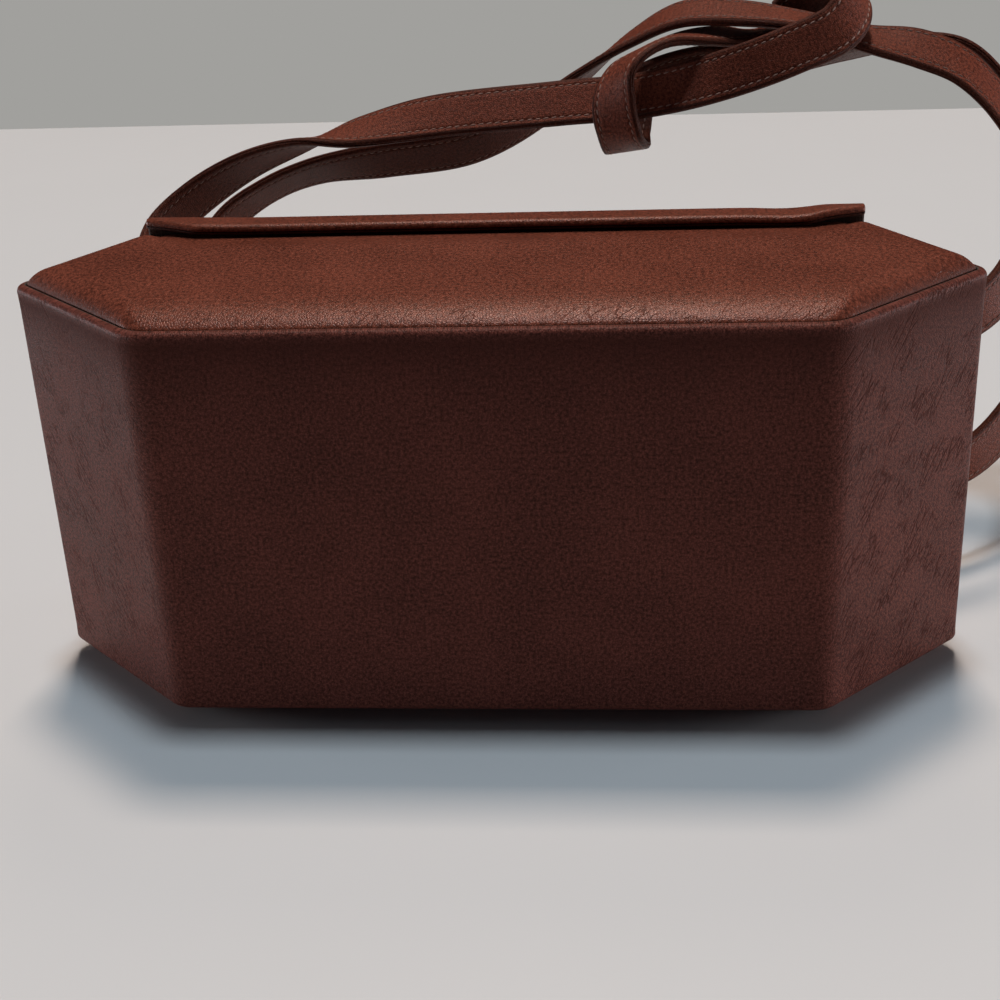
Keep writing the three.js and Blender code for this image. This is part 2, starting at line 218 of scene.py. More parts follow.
# The turned edge, as distance in from the side and below the face, then the seam, as in and above the middle
TURNED_EDGE = [(0.62, 0.16), (0.3, 0.42), (0.08, 0.75)]
LAYER_SEAM = [(0.0, 0.34), (0.04, 0.16), (0.26, 0.0)]
OUTER_FACE_MARGIN = 0.7
END_CORNER = 2.0
AT_THE_END = 0.01
END_THINNING = 0.75
# Turn per millimetre, averaged over some steps, at which a strap starts to wrinkle and wrinkles most
BEND_WINDOW = 9
BEND_FROM = 0.02
BEND_TO = 0.09

# Strap paths between the sewn ends: the middle of the strap, and where its outer face looks
STRAP_ONE = [
    (-108, 60, 79, -0.98, -0.1, 0.05),
    (-112, 82, 83.5, -0.9, 0.35, 0.15),
    (-109, 96, 90, -0.66, 0.7, 0.2),
    (-98, 104, 98.5, -0.48, 0.78, 0.36),
    (-83, 106, 107, -0.3, 0.68, 0.64),
    (-66, 106, 113, -0.2, 0.42, 0.88),
    (-48, 105, 116.8, -0.2, -0.32, 0.92),
    (-24.1, 103, 121.5, -0.15, -0.72, 0.68),
    (12.7, 101.3, 124.9, -0.1, -0.78, 0.62),
    (39.7, 98.3, 127.7, -0.15, -0.8, 0.58),
    (61.9, 95.5, 133.6, -0.2, -0.92, 0.35),
    (80.5, 94.5, 140.3, -0.2, -0.93, 0.3),
    (93.5, 97.5, 145.8, 0.1, -0.95, 0.28),
    (98, 105, 152.3, 0.7, -0.6, 0.4),
    (96, 115, 155.5, 0.75, 0.25, 0.6),
    (88, 124.5, 149, 0.2, 0.9, 0.4),
    (79, 127.5, 141, -0.1, 0.99, 0.15),
    (68, 113.5, 140.7, -0.05, -0.08, 0.99),
    (54, 106, 141.8, -0.1, -0.1, 0.98),
    (41, 97, 141.3, -0.35, 0.15, 0.92),
    (31.7, 91, 136.3, -0.75, -0.35, 0.5),
    (29.5, 88.5, 127, -0.48, -0.87, 0.08),
    (31, 89.3, 118.4, -0.35, -0.92, -0.18),
    (33, 96.3, 112.7, 0.15, -0.15, -0.97),
    (33, 104, 115.5, 0.1, 0.75, -0.6),
    (36, 109.8, 125.5, -0.15, 0.95, 0.2),
    (52, 114.5, 131, -0.3, 0.9, 0.3),
    (76, 118.5, 131, -0.25, 0.7, 0.65),
    (98, 122, 133, -0.1, 0.45, 0.88),
    (116, 121, 136, 0.1, 0.4, 0.9),
    (132, 118, 134.5, 0.4, 0.3, 0.85),
    (146, 113, 121, 0.8, 0.15, 0.55),
    (157, 106, 101, 0.95, 0, 0.3),
    (162, 96, 80, 0.97, -0.2, 0.1),
    (157, 83, 57, 0.85, -0.5, 0.1),
    (145, 67, 40, 0.65, -0.75, 0.1),
    (130, 53, 31.5, 0.45, -0.89, 0),
    (113, 45, 30, 0.25, -0.97, 0),
]
STRAP_TWO = [
    (-106, 60, 38, -0.98, 0, 0.15),
    (-109, 84, 54, -0.93, 0.1, 0.3),
    (-104, 104.4, 72.3, -0.88, 0.34, 0.34),
    (-92.5, 116.4, 87.2, -0.62, 0.6, 0.5),
    (-79, 118, 96, -0.38, 0.62, 0.68),
    (-64, 118, 101.5, -0.15, 0.7, 0.7),
    (-42, 116.5, 105, -0.1, 0.88, 0.47),
    (-15, 115, 109.2, -0.1, 0.88, 0.47),
    (6.5, 118, 118.5, -0.25, 0.7, 0.65),
    (20, 120, 129, -0.4, 0.35, 0.85),
    (34, 118, 139.3, -0.5, 0, 0.85),
    (49, 114, 147, -0.22, -0.25, 0.94),
    (66, 110, 147.6, 0.05, -0.25, 0.97),
    (84, 108.5, 145, 0.2, -0.15, 0.97),
    (102, 107, 140, 0.2, -0.3, 0.93),
    (117, 106, 137, 0.25, -0.6, 0.76),
    (129, 104.5, 132, 0.45, -0.6, 0.66),
    (139.5, 101, 122, 0.65, -0.5, 0.57),
    (146.5, 94, 109, 0.83, -0.4, 0.4),
    (147, 82, 97, 0.83, -0.5, 0.25),
    (141.5, 67, 84.5, 0.7, -0.7, 0.15),
    (129.5, 53.5, 76.5, 0.45, -0.89, 0),
    (113, 45, 74, 0.25, -0.97, 0),
]

UV_NAME = "surface_metres"
ROLL_NAME = "pad_roll"
BEND_NAME = "strap_bend"
SHADE_NAME = "edge_shade"
LOOK_NAME = "stitch_look"
TONE_NAME = "thread_tone"

# Stage in metres
TABLE_REACH = 0.9
TABLE_FRONT_Y = -0.27
TABLE_BACK_Y = 0.589
TABLE_SLANT = -0.0101
TABLE_THICKNESS = 0.05
TABLE_EDGE_ROUND = 0.012
SIDE_LIGHT_X = 1.6
SIDE_GLOSS = 0.35
LIGHT_AIM = 0.05
ROOM_STRENGTH = 0.02
ROOM_GLOW = "c4d2e6"
TABLE_ROUND_STEPS = 8
TABLE_SHARP_DEG = 30
# Lights: where they stand, how wide and high they are, and their colour
WARM_LAMP = ((0.0, 1.78, 5.73), (0.9, 0.9), "ffeadc")
COOL_LAMP = ((0.0, 0.165, 3.0), (0.3, 0.3), "def0ff")
BACK_LIGHT = ((0.0, 2.46, 3.15), (1.0, 1.0), "ffe6d0")
LEFT_LIGHT = ((-SIDE_LIGHT_X, 0.25, 0.12), (0.8, 0.2), "f4f6ff")
RIGHT_LIGHT = ((SIDE_LIGHT_X, 0.25, 0.12), (0.8, 0.2), "f4f6ff")
FRONT_LIGHT = ((0.0, -0.9, 0.05), (1.2, 0.1), "d4e4ff")
# Camera, as fitted through the case's corners
CAMERA_PLACE = (0.036672, -0.396165, 0.246786)
CAMERA_TURN_DEG = (63.1986, 2.4376, 4.0958)
CAMERA_LENS = 61.287
CAMERA_SENSOR = 36.0
CAMERA_REACH = 20.0

# Gloss of the thin dull lacquer over the dye, which is more worn off on the straps and the band
PANEL_SPECULAR = 0.24
STRAP_SPECULAR = 0.14
BAND_SPECULAR = 0.12
SHEEN = "ffc8b6"
LEATHER_IOR = 1.5
# Leather of each piece: width and depth of its grain in millimetres, roughness and gloss
PANEL_FINISH = (0.7, 0.05, 0.33, PANEL_SPECULAR)
LIP_FINISH = (0.7, 0.06, 0.5, STRAP_SPECULAR)
BAND_FINISH = (0.6, 0.065, 0.42, BAND_SPECULAR)
HINGE_FINISH = (0.85, 0.16, 0.5, BAND_SPECULAR)
STRAP_FINISH = (0.6, 0.09, 0.4, STRAP_SPECULAR)
STRAP_INNER_FINISH = (0.6, 0.09, 0.42, STRAP_SPECULAR)
# Partly dark edge paint and partly painted shade: the lip's front and underside are toned this much darker
LIP_EDGE_TONE = 0.3
# Painted shade: the straps' inner faces, edges and ends are toned this much darker
STRAP_INNER_SHADE = 0.45
# Grain: widths as shares of a pebble, heights as shares of the grain's depth
WARP_WIDTH = 3
WARP_REACH = 0.6
PORE_WIDTH = 1.4
PEBBLE_ROUND = 0.3
PEBBLE_HEIGHT = 0.6
PORE_HEIGHT = 1.1
# Dye: how far pores and wide clouds stir it, and the tone that it has in its deepest and palest spots
CLOUD_WIDTH = 26.0
PORE_STIR = 0.85
CLOUD_STIR = 0.15
DEEPEST_AT, DEEPEST_TONE = 0.36, 0.35
PALEST_AT, PALEST_TONE = 0.64, 1.75
# Painted shade in the grain's valleys: their tone, how far up a pebble it reaches, and how much of it shows
VALLEY_TONE = 0.5
VALLEY_ROUND = 0.6
VALLEY_SHARE = 0.5
# Painted shade in creases, then how much duller creases are and how the clouds change the gloss
CREASE_DARKNESS = 0.75
CREASE_DULLNESS = 0.3
GLOSS_FROM, GLOSS_TO = 0.25, 0.75
GLOSS_LESS, GLOSS_MORE = 0.04, 0.05
# Creases: cell in millimetres, how drawn out, turn in degrees, width as a share of a cell, and depth
PANEL_CREASE = (1.7, 3.2, 43, 0.07, 0.9)
FACET_CREASE = (1.4, 3.4, 52, 0.13, 1.5)
LONG_FACET_CREASE = (3.2, 5.0, 56, 0.09, 2.2)
FRONT_CREASE = (3.6, 4.5, 8, 0.05, 0.8)
STRAP_CREASE = (1.8, 2.6, 12, 0.08, 1.0)
# They wander a little, by metres of the pattern, and come in patches of this many millimetres
CREASE_WANDER = 0.0015
WANDER_WIDTH = 0.8
CREASE_PATCH = 9.0
PATCH_FROM, PATCH_TO = 0.42, 0.62
# How strong they are on the roll and off it, on a bend and off it, in front, and how much less on the left
ROLL_CREASES, FLAT_CREASES = 0.97, 0.03
BEND_CREASES, STRAIGHT_CREASES = 0.6, 0.4
FRONT_CREASES = 0.4
LEFT_FEWER = 0.35
# The facets start this many metres from the middle of the band, and the left one has its own creases
FACET_FROM, FACET_TO = 0.074, 0.09
LEFT_SHIFT = 0.31
# Lining cloth; a wave texture makes 20 / tau waves per unit of its scale
LINING_THREAD = 0.8
WAVES_PER_SCALE = 20 / math.tau
LINING_WAVER = 0.4
LINING_DEEP_TONE = 0.6
LINING_RELIEF = 0.1
LINING_RELIEF_STRENGTH = 0.5
LINING_ROUGHNESS = 0.85
# Sewing thread
THREAD_FUZZ = 1.2
THREAD_UNEVEN = 0.5
THREAD_DEEP_TONE = 0.3
THREAD_ROUGHNESS = 0.6
# Table laminate
LAMINATE_CLOUD = 60.0
LAMINATE_CONTRAST = 0.02
LAMINATE_ROUGHNESS = 0.55


def linear(code):
    """Linear red, green, blue and alpha of an sRGB hex colour."""
    parts = [int(code[i:i + 2], 16) / 255 for i in (0, 2, 4)]
    return tuple(c / 12.92 if c <= 0.04045 else ((c + 0.055) / 1.055) ** 2.4 for c in parts) + (1.0,)


def add(tree, kind, values=None, **settings):
    """Adds one node with its settings; each value is a number for that input, or the socket to link to it."""
    node = tree.nodes.new(kind)
    for key, value in settings.items():
        setattr(node, key, value)
    for key, value in (values or {}).items():
        if isinstance(value, bpy.types.NodeSocket):
            tree.links.new(value, node.inputs[key])
        else:
            node.inputs[key].default_value = value
    return node


def per_metre(size_mm):
    """Texture scale that makes one cell of the pattern that many millimetres wide."""
    return 1 / (size_mm * MM)


def smooth_step(value, low, high):
    """Zero below low, one above high and a smooth curve between."""
    t = np.clip((np.asarray(value, float) - low) / (high - low), 0, 1)
    return t * t * (3 - 2 * t)


def unit(vector):
    """The vector or rows of vectors, each of length one."""
    vector = np.asarray(vector, float)
    return vector / np.linalg.norm(vector, axis=-1, keepdims=True)


def finished_mesh(name, points, faces, uvs, materials, face_slots=None, values=None, sharp_deg=SHARP_DEG):
    """A closed mesh object from points in millimetres, with a UV map in metres and its faces outwards."""
    mesh = bpy.data.meshes.new(name)
    mesh.from_pydata((np.asarray(points) * MM).tolist(), [], faces)
    for key, numbers in (values or {}).items():
        attribute = mesh.attributes.new(key, "FLOAT", "POINT")
        attribute.data.foreach_set("value", np.asarray(numbers, np.float32))
    layer = mesh.uv_layers.new(name=UV_NAME)
    corners = np.zeros(len(mesh.loops), np.int32)
    mesh.loops.foreach_get("vertex_index", corners)
    layer.data.foreach_set("uv", (np.asarray(uvs)[corners] * MM).astype(np.float32).ravel())
    for material in materials:
        mesh.materials.append(material)
    if face_slots is not None:
        mesh.polygons.foreach_set("material_index", np.asarray(face_slots, np.int32))
    work = bmesh.new()
    work.from_mesh(mesh)
    bmesh.ops.remove_doubles(work, verts=work.verts, dist=MERGE_DISTANCE * MM)
    bmesh.ops.dissolve_degenerate(work, edges=work.edges, dist=SLIVER * MM)
    bmesh.ops.recalc_face_normals(work, faces=work.faces)
    work.to_mesh(mesh)
    work.free()
    mesh.shade_smooth()
    mesh.set_sharp_from_angle(angle=math.radians(sharp_deg))
    piece = bpy.data.objects.new(name, mesh)
    bpy.context.scene.collection.objects.link(piece)
    return piece


def sheet_faces(rows, count, closed):
    """Quads between neighbouring rows of equal length; closed joins the ends of each row."""
    faces = []
    for r in range(rows - 1):
        for k in range(count if closed else count - 1):
            a = r * count + k
            b = r * count + (k + 1) % count
            faces.append((a, b, b + count, a + count))
    return faces


def inset_corners(insets):
    """Corners of the case with each side moved inwards by its own distance."""
    lines = []
    for i, (x, y) in enumerate(CORNERS):
        next_x, next_y = CORNERS[(i + 1) % len(CORNERS)]
        length = math.hypot(next_x - x, next_y - y)
        nx = -(next_y - y) / length
        ny = (next_x - x) / length
        lines.append((nx, ny, nx * x + ny * y + insets[i]))
    corners = []
    for i, (bx, by, b) in enumerate(lines):
        ax, ay, a = lines[i - 1]
        det = ax * by - ay * bx
        corners.append(np.array([(a * by - b * ay) / det, (b * ax - a * bx) / det]))
    return corners


def fold_points(before, corner, after, radius):
    """Points round one folded corner, in order."""
    back = unit(before - corner)
    ahead = unit(after - corner)
    half = math.acos(np.clip(back @ ahead, -1, 1)) / 2
    reach = radius / math.tan(half)
    middle = corner + unit(back + ahead) * radius / math.sin(half)
    start = corner + back * reach - middle
    end = corner + ahead * reach - middle
    first = math.atan2(start[1], start[0])
    turn = math.atan2(end[1], end[0]) - first
    turn = (turn + math.pi) % (2 * math.pi) - math.pi
    angles = first + turn * np.linspace(0, 1, FOLD_STEPS + 1)
    return middle + radius * np.column_stack([np.cos(angles), np.sin(angles)])


def side_steps(i):
    """How many steps divide the side of the case that starts at that corner."""
    a = np.array(CORNERS[i])
    b = np.array(CORNERS[(i + 1) % len(CORNERS)])
    return max(2, round(np.linalg.norm(b - a) / SIDE_STEP))


def straight(a, b, steps):
    """Points between a and b, without the two ends."""
    share = np.linspace(0, 1, steps + 1)[1:-1, None]
    return a + (b - a) * share


def case_outline(insets):
    """Closed outline of the case with its sides at those insets, each side divided evenly."""
    corners = inset_corners(insets)
    count = len(corners)
    arcs = []
    for i, corner in enumerate(corners):
        radius = max(FOLDS[i] + FOLD_GROWTH[i] - (insets[i - 1] + insets[i]) / 2, TIGHTEST_FOLD)
        arcs.append(fold_points(corners[i - 1], corner, corners[(i + 1) % count], radius))
    rows = []
    for i, arc in enumerate(arcs):
        rows.append(arc)
        rows.append(straight(arc[-1], arcs[(i + 1) % count][0], side_steps(i)))
    return np.vstack(rows)


def band_path(inset, height_share):
    """The band's path at that inset from one end of the opening round the bottom to the other end."""
    corners = inset_corners([inset] * len(CORNERS))
    right_rim, left_rim = corners[0], corners[1]
    folds = corners[2:]

    def at_height(rim, fold, y):
        return fold + (rim - fold) * (y - fold[1]) / (rim[1] - fold[1])

    middle = WALL / 2
    ends = np.linspace(0, math.pi / 2, END_STEPS + 1)
    lean = [RIM_Y - middle + middle * math.sin(angle) for angle in ends]
    arcs = []
    for i, corner in enumerate(folds):
        before = folds[i - 1] if i else left_rim
        after = folds[i + 1] if i + 1 < len(folds) else right_rim
        radius = FOLDS[i + 2] + FOLD_GROWTH[i + 2] * height_share - inset
        arcs.append(fold_points(before, corner, after, max(radius, TIGHTEST_FOLD)))
    left = np.array([at_height(left_rim, folds[0], y) for y in reversed(lean)])
    right = np.array([at_height(right_rim, folds[-1], y) for y in lean])
    rows = [left]
    stops = [left[-1]]
    for i, arc in enumerate(arcs):
        rows.append(straight(stops[-1], arc[0], side_steps(i + 1)))
        rows.append(arc)
        stops.append(arc[-1])
    rows.append(straight(stops[-1], right[0], side_steps(len(CORNERS) - 1)))
    rows.append(right)
    return np.vstack(rows)


def band_levels(edge):
    """Height, outer and inner inset of the band up to half its height; edge is the edge's radius."""
    rows = []
    for angle in np.linspace(0, math.pi / 2, EDGE_STEPS + 1):
        z = edge * (1 - math.cos(angle))
        below = max(EDGE_INNER_ROUND - z, 0)
        inner = WALL - EDGE_INNER_ROUND + math.sqrt(EDGE_INNER_ROUND ** 2 - below ** 2)
        rows.append((z, edge * (1 - math.sin(angle)), inner))
    for rise, inset in EDGE_DIP:
        rows.append((edge + rise, inset, WALL))
    first, inset, _ = rows[-1]
    for share in np.linspace(0, 1, WALL_STEPS + 1)[1:]:
        rows.append((first + (BAND_HEIGHT / 2 - first) * share, inset, WALL))
    return rows


def band_mesh(materials, edge):
    """The side band: a folded wall with a rounded edge along both sides, closed at the opening."""
    half = band_levels(edge)
    levels = half + [(BAND_HEIGHT - z, outer, inner) for z, outer, inner in reversed(half[:-1])]
    middle = WALL / 2
    loop = [(z, outer, 0) for z, outer, _ in levels]
    loop += [(z, inner, 1) for z, _, inner in reversed(levels)]
    columns = []
    for z, inset, _ in loop:
        path = band_path(inset, z / BAND_HEIGHT)
        ends = np.linspace(math.pi / 2, 0, END_STEPS + 1)
        thin = np.ones(len(path))
        thin[:END_STEPS + 1] = np.cos(ends)
        thin[-END_STEPS - 1:] = np.cos(ends[::-1])
        core = band_path(middle, z / BAND_HEIGHT)
        path = core + (path - core) * thin[:, None]
        columns.append(np.column_stack([path, np.full(len(path), BAND_FOOT + z)]))
    grid = np.stack(columns, axis=1)
    rows, count = grid.shape[:2]
    spine = grid[:, len(levels) // 2, :2]
    along = np.concatenate([[0], np.cumsum(np.linalg.norm(np.diff(spine, axis=0), axis=1))])
    along -= along[-1] / 2
    uvs = np.zeros((rows, count, 2))
    uvs[:, :, 0] = along[:, None]
    uvs[:, :, 1] = [z for z, _, _ in loop]
    faces = sheet_faces(rows, count, True)
    slots = []
    for _ in range(rows - 1):
        for k in range(count):
            slots.append(1 if loop[k][2] and loop[(k + 1) % count][2] else 0)
    below = BAND_HEIGHT - np.array([z for z, _, _ in loop])
    # Painted shade below the band's upper edge, fading downwards and left off the rounded edge
    shade = np.minimum(EDGE_SHADE * np.exp(-below / EDGE_SHADE_REACH), 1)
    shade = shade * smooth_step(below, EDGE_BARE_FROM, EDGE_BARE_TO)
    return finished_mesh(
        "side_band_leather", grid.reshape(-1, 3), faces, uvs.reshape(-1, 2), materials, slots,
        {SHADE_NAME: np.tile(shade, rows)})


def pad_rise(depth):
    """Height of the padding above the band's edge, that far in from the panel's edge."""
    steps = np.linspace(0, depth, PAD_SAMPLES)
    slopes = PAD_SEAM_SLOPE * np.exp(-(steps / PAD_SOFTNESS) ** PAD_FALL)
    return float(np.mean(slopes)) * depth - SEAM_CREVICE * math.exp(-depth / CREVICE_WIDTH)


def settle_rim(panel, way):
    """Lets the pad's face down towards the opening, where the lid's lip lies over it."""
    edge = BAND_TOP if way > 0 else BAND_FOOT
    work = bmesh.new()
    work.from_mesh(panel.data)
    cuts = [((0, y * MM, 0), (0, 1, 0)) for y in np.arange(RIM_SETTLE_FROM, RIM_CUT_END, RIM_CUT_STEP)]
    for x in np.arange(END_CUT_FROM, END_CUT_TO, END_CUT_STEP):
        cuts += [((side * x * MM, 0, 0), (1, 0, 0)) for side in (-1, 1)]
    for spot, normal in cuts:
        everything = work.verts[:] + work.edges[:] + work.faces[:]
        bmesh.ops.bisect_plane(work, geom=everything, plane_co=spot, plane_no=normal, dist=CUT_TOLERANCE)
    clipped = (LID_WIDTH - LIP_STRAIGHT_WIDTH) / 2
    for vert in work.verts:
        rise = way * (vert.co.z / MM - edge)
        past = min(max(abs(vert.co.x) / MM - LIP_STRAIGHT_WIDTH / 2, 0), clipped)
        start = RIM_SETTLE_FROM + RIM_FREE_FROM * past
        end = RIM_SETTLE_TO + RIM_FREE_TO * past
        share = smooth_step(vert.co.y / MM, start, end)
        share = share * smooth_step(rise, SETTLE_RISE_FROM, SETTLE_RISE_TO)
        vert.co.z -= way * RIM_SETTLE * float(share) * MM
    work.to_mesh(panel.data)
    work.free()


def panel_mesh(name, materials, flipped):
    """One padded panel: a covered board whose soft face rolls down to the seam along the band."""
    margin = WALL + SEAM_GAP
    rings = []
    rises = [-BOARD] + [pad_rise(depth) for depth in PAD_DEPTHS]
    for depth, rise in zip([0.0] + PAD_DEPTHS, rises):
        insets = [margin + depth * share for share in ROLL_SHARES]
        insets[0] -= WALL
        outline = case_outline(insets)
        rings.append(np.column_stack([outline, np.full(len(outline), rise)]))
    grid = np.stack(rings)
    count = grid.shape[1]
    faces = sheet_faces(len(rings), count, True)
    slots = [1] * count + [0] * (count * (len(rings) - 2))
    faces.append(tuple(range(count)))
    slots.append(1)
    last = (len(rings) - 1) * count
    faces.append(tuple(range(last, last + count)))
    slots.append(0)
    points = grid.reshape(-1, 3)
    uvs = points[:, :2].copy()
    creased = [1 - smooth_step(depth, CREASE_DEPTH_FROM, CREASE_DEPTH_TO) for depth in PAD_DEPTHS]
    roll = np.repeat([0.0] + creased, count)
    if flipped:
        points = points * [-1, 1, -1] + [0, 0, BAND_FOOT]
    else:
        points = points + [0, 0, BAND_TOP]
    depths = np.repeat([0.0] + PAD_DEPTHS, count)
    # Painted shade next to the seams along the side facets, fading inwards
    shade = smooth_step(np.abs(points[:, 0]), SIDE_SHADE_FROM, SIDE_SHADE_TO)
    shade = shade * np.exp(-depths / SIDE_SHADE_REACH)
    panel = finished_mesh(name, points, faces, uvs, materials, slots, {ROLL_NAME: roll, SHADE_NAME: shade})
    settle_rim(panel, -1 if flipped else 1)
    return panel


def lid_profile(front):
    """Outline of the lid in side view for a lip with that front: y, z and material slot."""
    points = []
    board = (LID_OUTER_Y - LID_INNER_Y) / 2
    foot = (LID_INNER_Y + board, LID_FOOT_Z + board)
    for angle in np.linspace(math.pi, 2 * math.pi, LID_ROUND_STEPS + 1):
        points.append((foot[0] + board * math.cos(angle), foot[1] + board * math.sin(angle), 0))
    shoulder = LIP_TOP_Z - LID_BACK_ROUND
    for share in np.linspace(0, 1, LID_BACK_STEPS + 1)[1:-1]:
        points.append((LID_OUTER_Y, foot[1] + (shoulder - foot[1]) * share, 0))
    for angle in np.linspace(0, math.pi / 2, LID_ROUND_STEPS + 1):
        points.append((
            LID_OUTER_Y - LID_BACK_ROUND + LID_BACK_ROUND * math.cos(angle),
            shoulder + LID_BACK_ROUND * math.sin(angle), 0))
    top_end = LID_OUTER_Y - LID_BACK_ROUND
    nose = front + LIP_TOP_CORNER
    for share in np.linspace(0, 1, LIP_TOP_STEPS + 1)[1:-1]:
        points.append((top_end + (nose - top_end) * share, LIP_TOP_Z, 0))
    for angle in np.linspace(math.pi / 2, math.pi, LID_ROUND_STEPS + 1):
        reach = LIP_TOP_CORNER * (1 - math.sin(angle))
        points.append((nose + LIP_TOP_CORNER * math.cos(angle), LIP_TOP_Z - reach, 0))
    seam = LIP_UNDER_Z + (LIP_TOP_Z - LIP_UNDER_Z) * LIP_SEAM_SHARE
    for off, sink in LIP_SEAM_SHAPE:
        points.append((front + LIP_GROOVE * sink, seam + off, 2))
    heel = front + LIP_UNDER_CORNER
    for angle in np.linspace(math.pi, 3 * math.pi / 2, LIP_HEEL_STEPS + 1):
        rise = LIP_UNDER_CORNER * (1 + math.sin(angle))
        points.append((heel + LIP_UNDER_CORNER * math.cos(angle), LIP_UNDER_Z + rise, 2))
    under_end = LID_INNER_Y - LIP_INNER_ROUND
    for share in np.linspace(0, 1, LIP_UNDER_STEPS + 1)[1:]:
        points.append((heel + (under_end - heel) * share, LIP_UNDER_Z, 2))
    points.append((LID_INNER_Y - LIP_INNER_CUT, LIP_UNDER_Z - LIP_INNER_CUT, 1))
    inside_top = LIP_UNDER_Z - LIP_INNER_ROUND
    for share in np.linspace(0, 1, LID_INSIDE_STEPS + 1)[:-1]:
        points.append((LID_INNER_Y, inside_top + (foot[1] - inside_top) * share, 1))
    return points


def lip_front(x):
    """How far forward the lip reaches at that place along its width, its corners clipped."""
    run = (LID_WIDTH - LIP_STRAIGHT_WIDTH) / 2
    past = max(abs(x) - LIP_STRAIGHT_WIDTH / 2, 0)
    return LIP_FRONT_Y + (LIP_CLIP_Y - LIP_FRONT_Y) * past / run


def towards_middle(profile, front, shrink):
    """The lid's side outline with every point moved that far towards the middle of the board and lip."""
    middle_y = (LID_INNER_Y + LID_OUTER_Y) / 2
    middle_z = (LIP_UNDER_Z + LIP_TOP_Z) / 2
    reach = (LID_OUTER_Y - LID_INNER_Y) / 2
    spine = np.array([
        (middle_y, LID_FOOT_Z + reach), (middle_y, middle_z - reach), (middle_y - reach / 2, middle_z),
        (front + LIP_TOP_CORNER, middle_z)])
    nearest = np.zeros_like(profile)
    best = np.full(len(profile), np.inf)
    for a, b in zip(spine[:-1], spine[1:]):
        share = np.clip((profile - a) @ (b - a) / ((b - a) @ (b - a)), 0, 1)
        spot = a + share[:, None] * (b - a)
        away = np.linalg.norm(profile - spot, axis=1)
        closer = away < best
        nearest[closer] = spot[closer]
        best = np.where(closer, away, best)
    return profile + (nearest - profile) * np.minimum(shrink / best, END_SHRINK_LIMIT)[:, None]


def top_wave(x):
    """How far the lid's top stands above its straight line at that place along its width."""
    left = LEFT_RISE * smooth_step(-x, LEFT_RISE_FROM, LEFT_RISE_TO)
    right = RIGHT_RISE * smooth_step(x, RIGHT_RISE_FROM, RIGHT_RISE_TO)
    sag = TOP_SAG * math.exp(-((x - TOP_SAG_PLACE) / TOP_SAG_WIDTH) ** 2)
    return float(left + right - sag)


def lid_mesh(materials, lift):
    """The lid: a covered board with a rounded back edge and a short lip whose clipped ends lift a little."""
    half = LID_WIDTH / 2 - LID_END_ROUND
    middle = LIP_STRAIGHT_WIDTH / 2
    flat = np.linspace(-middle, middle, LID_FLAT_PLACES)
    clip = np.linspace(middle, half, LID_CLIP_PLACES)[1:]
    stations = [(x, 0.0) for x in np.concatenate([-clip[::-1], flat, clip])]
    turns = np.linspace(0, math.pi / 2, LID_END_STEPS + 1)[1:]
    caps = [(half + LID_END_ROUND * math.sin(t), LID_END_ROUND * (1 - math.cos(t))) for t in turns]
    stations = [(-x, shrink) for x, shrink in reversed(caps)] + stations + caps
    rings = []
    for x, shrink in stations:
        front = lip_front(x)
        profile = np.array([(y, z) for y, z, _ in lid_profile(front)])
        if shrink:
            profile = towards_middle(profile, front, shrink)
        forward = np.clip((LID_INNER_Y - profile[:, 0]) / (LID_INNER_Y - LIP_FRONT_Y), 0, 1)
        forward = forward * (profile[:, 1] > LIP_UNDER_Z - LIP_LIFT_REACH)
        rise = lift * smooth_step(abs(x), middle, LID_WIDTH / 2) * forward
        rise = rise + top_wave(x) * smooth_step(profile[:, 1], LIP_TOP_Z - TOP_WAVE_REACH, LIP_UNDER_Z)
        rings.append(np.column_stack([np.full(len(profile), x), profile[:, 0], profile[:, 1] + rise]))
    grid = np.stack(rings)
    rows, count = grid.shape[:2]
    steps = np.linalg.norm(np.diff(grid[rows // 2], axis=0), axis=1)
    round_profile = np.concatenate([[0], np.cumsum(steps)])
    uvs = np.zeros((rows, count, 2))
    uvs[:, :, 0] = grid[:, :, 0]
    uvs[:, :, 1] = round_profile
    faces = sheet_faces(rows, count, True)
    kinds = [kind for _, _, kind in lid_profile(LIP_FRONT_Y)]
    round_kinds = [kind if kind == kinds[(k + 1) % count] else 0 for k, kind in enumerate(kinds)]
    slots = round_kinds * (rows - 1)
    faces.append(tuple(range(count)))
    faces.append(tuple(range((rows - 1) * count, rows * count)))
    slots += [0, 0]
    return finished_mesh(
        "lid_leather", grid.reshape(-1, 3), faces, uvs.reshape(-1, 2), materials, slots,
        {ROLL_NAME: np.zeros(rows * count), SHADE_NAME: np.zeros(rows * count)})


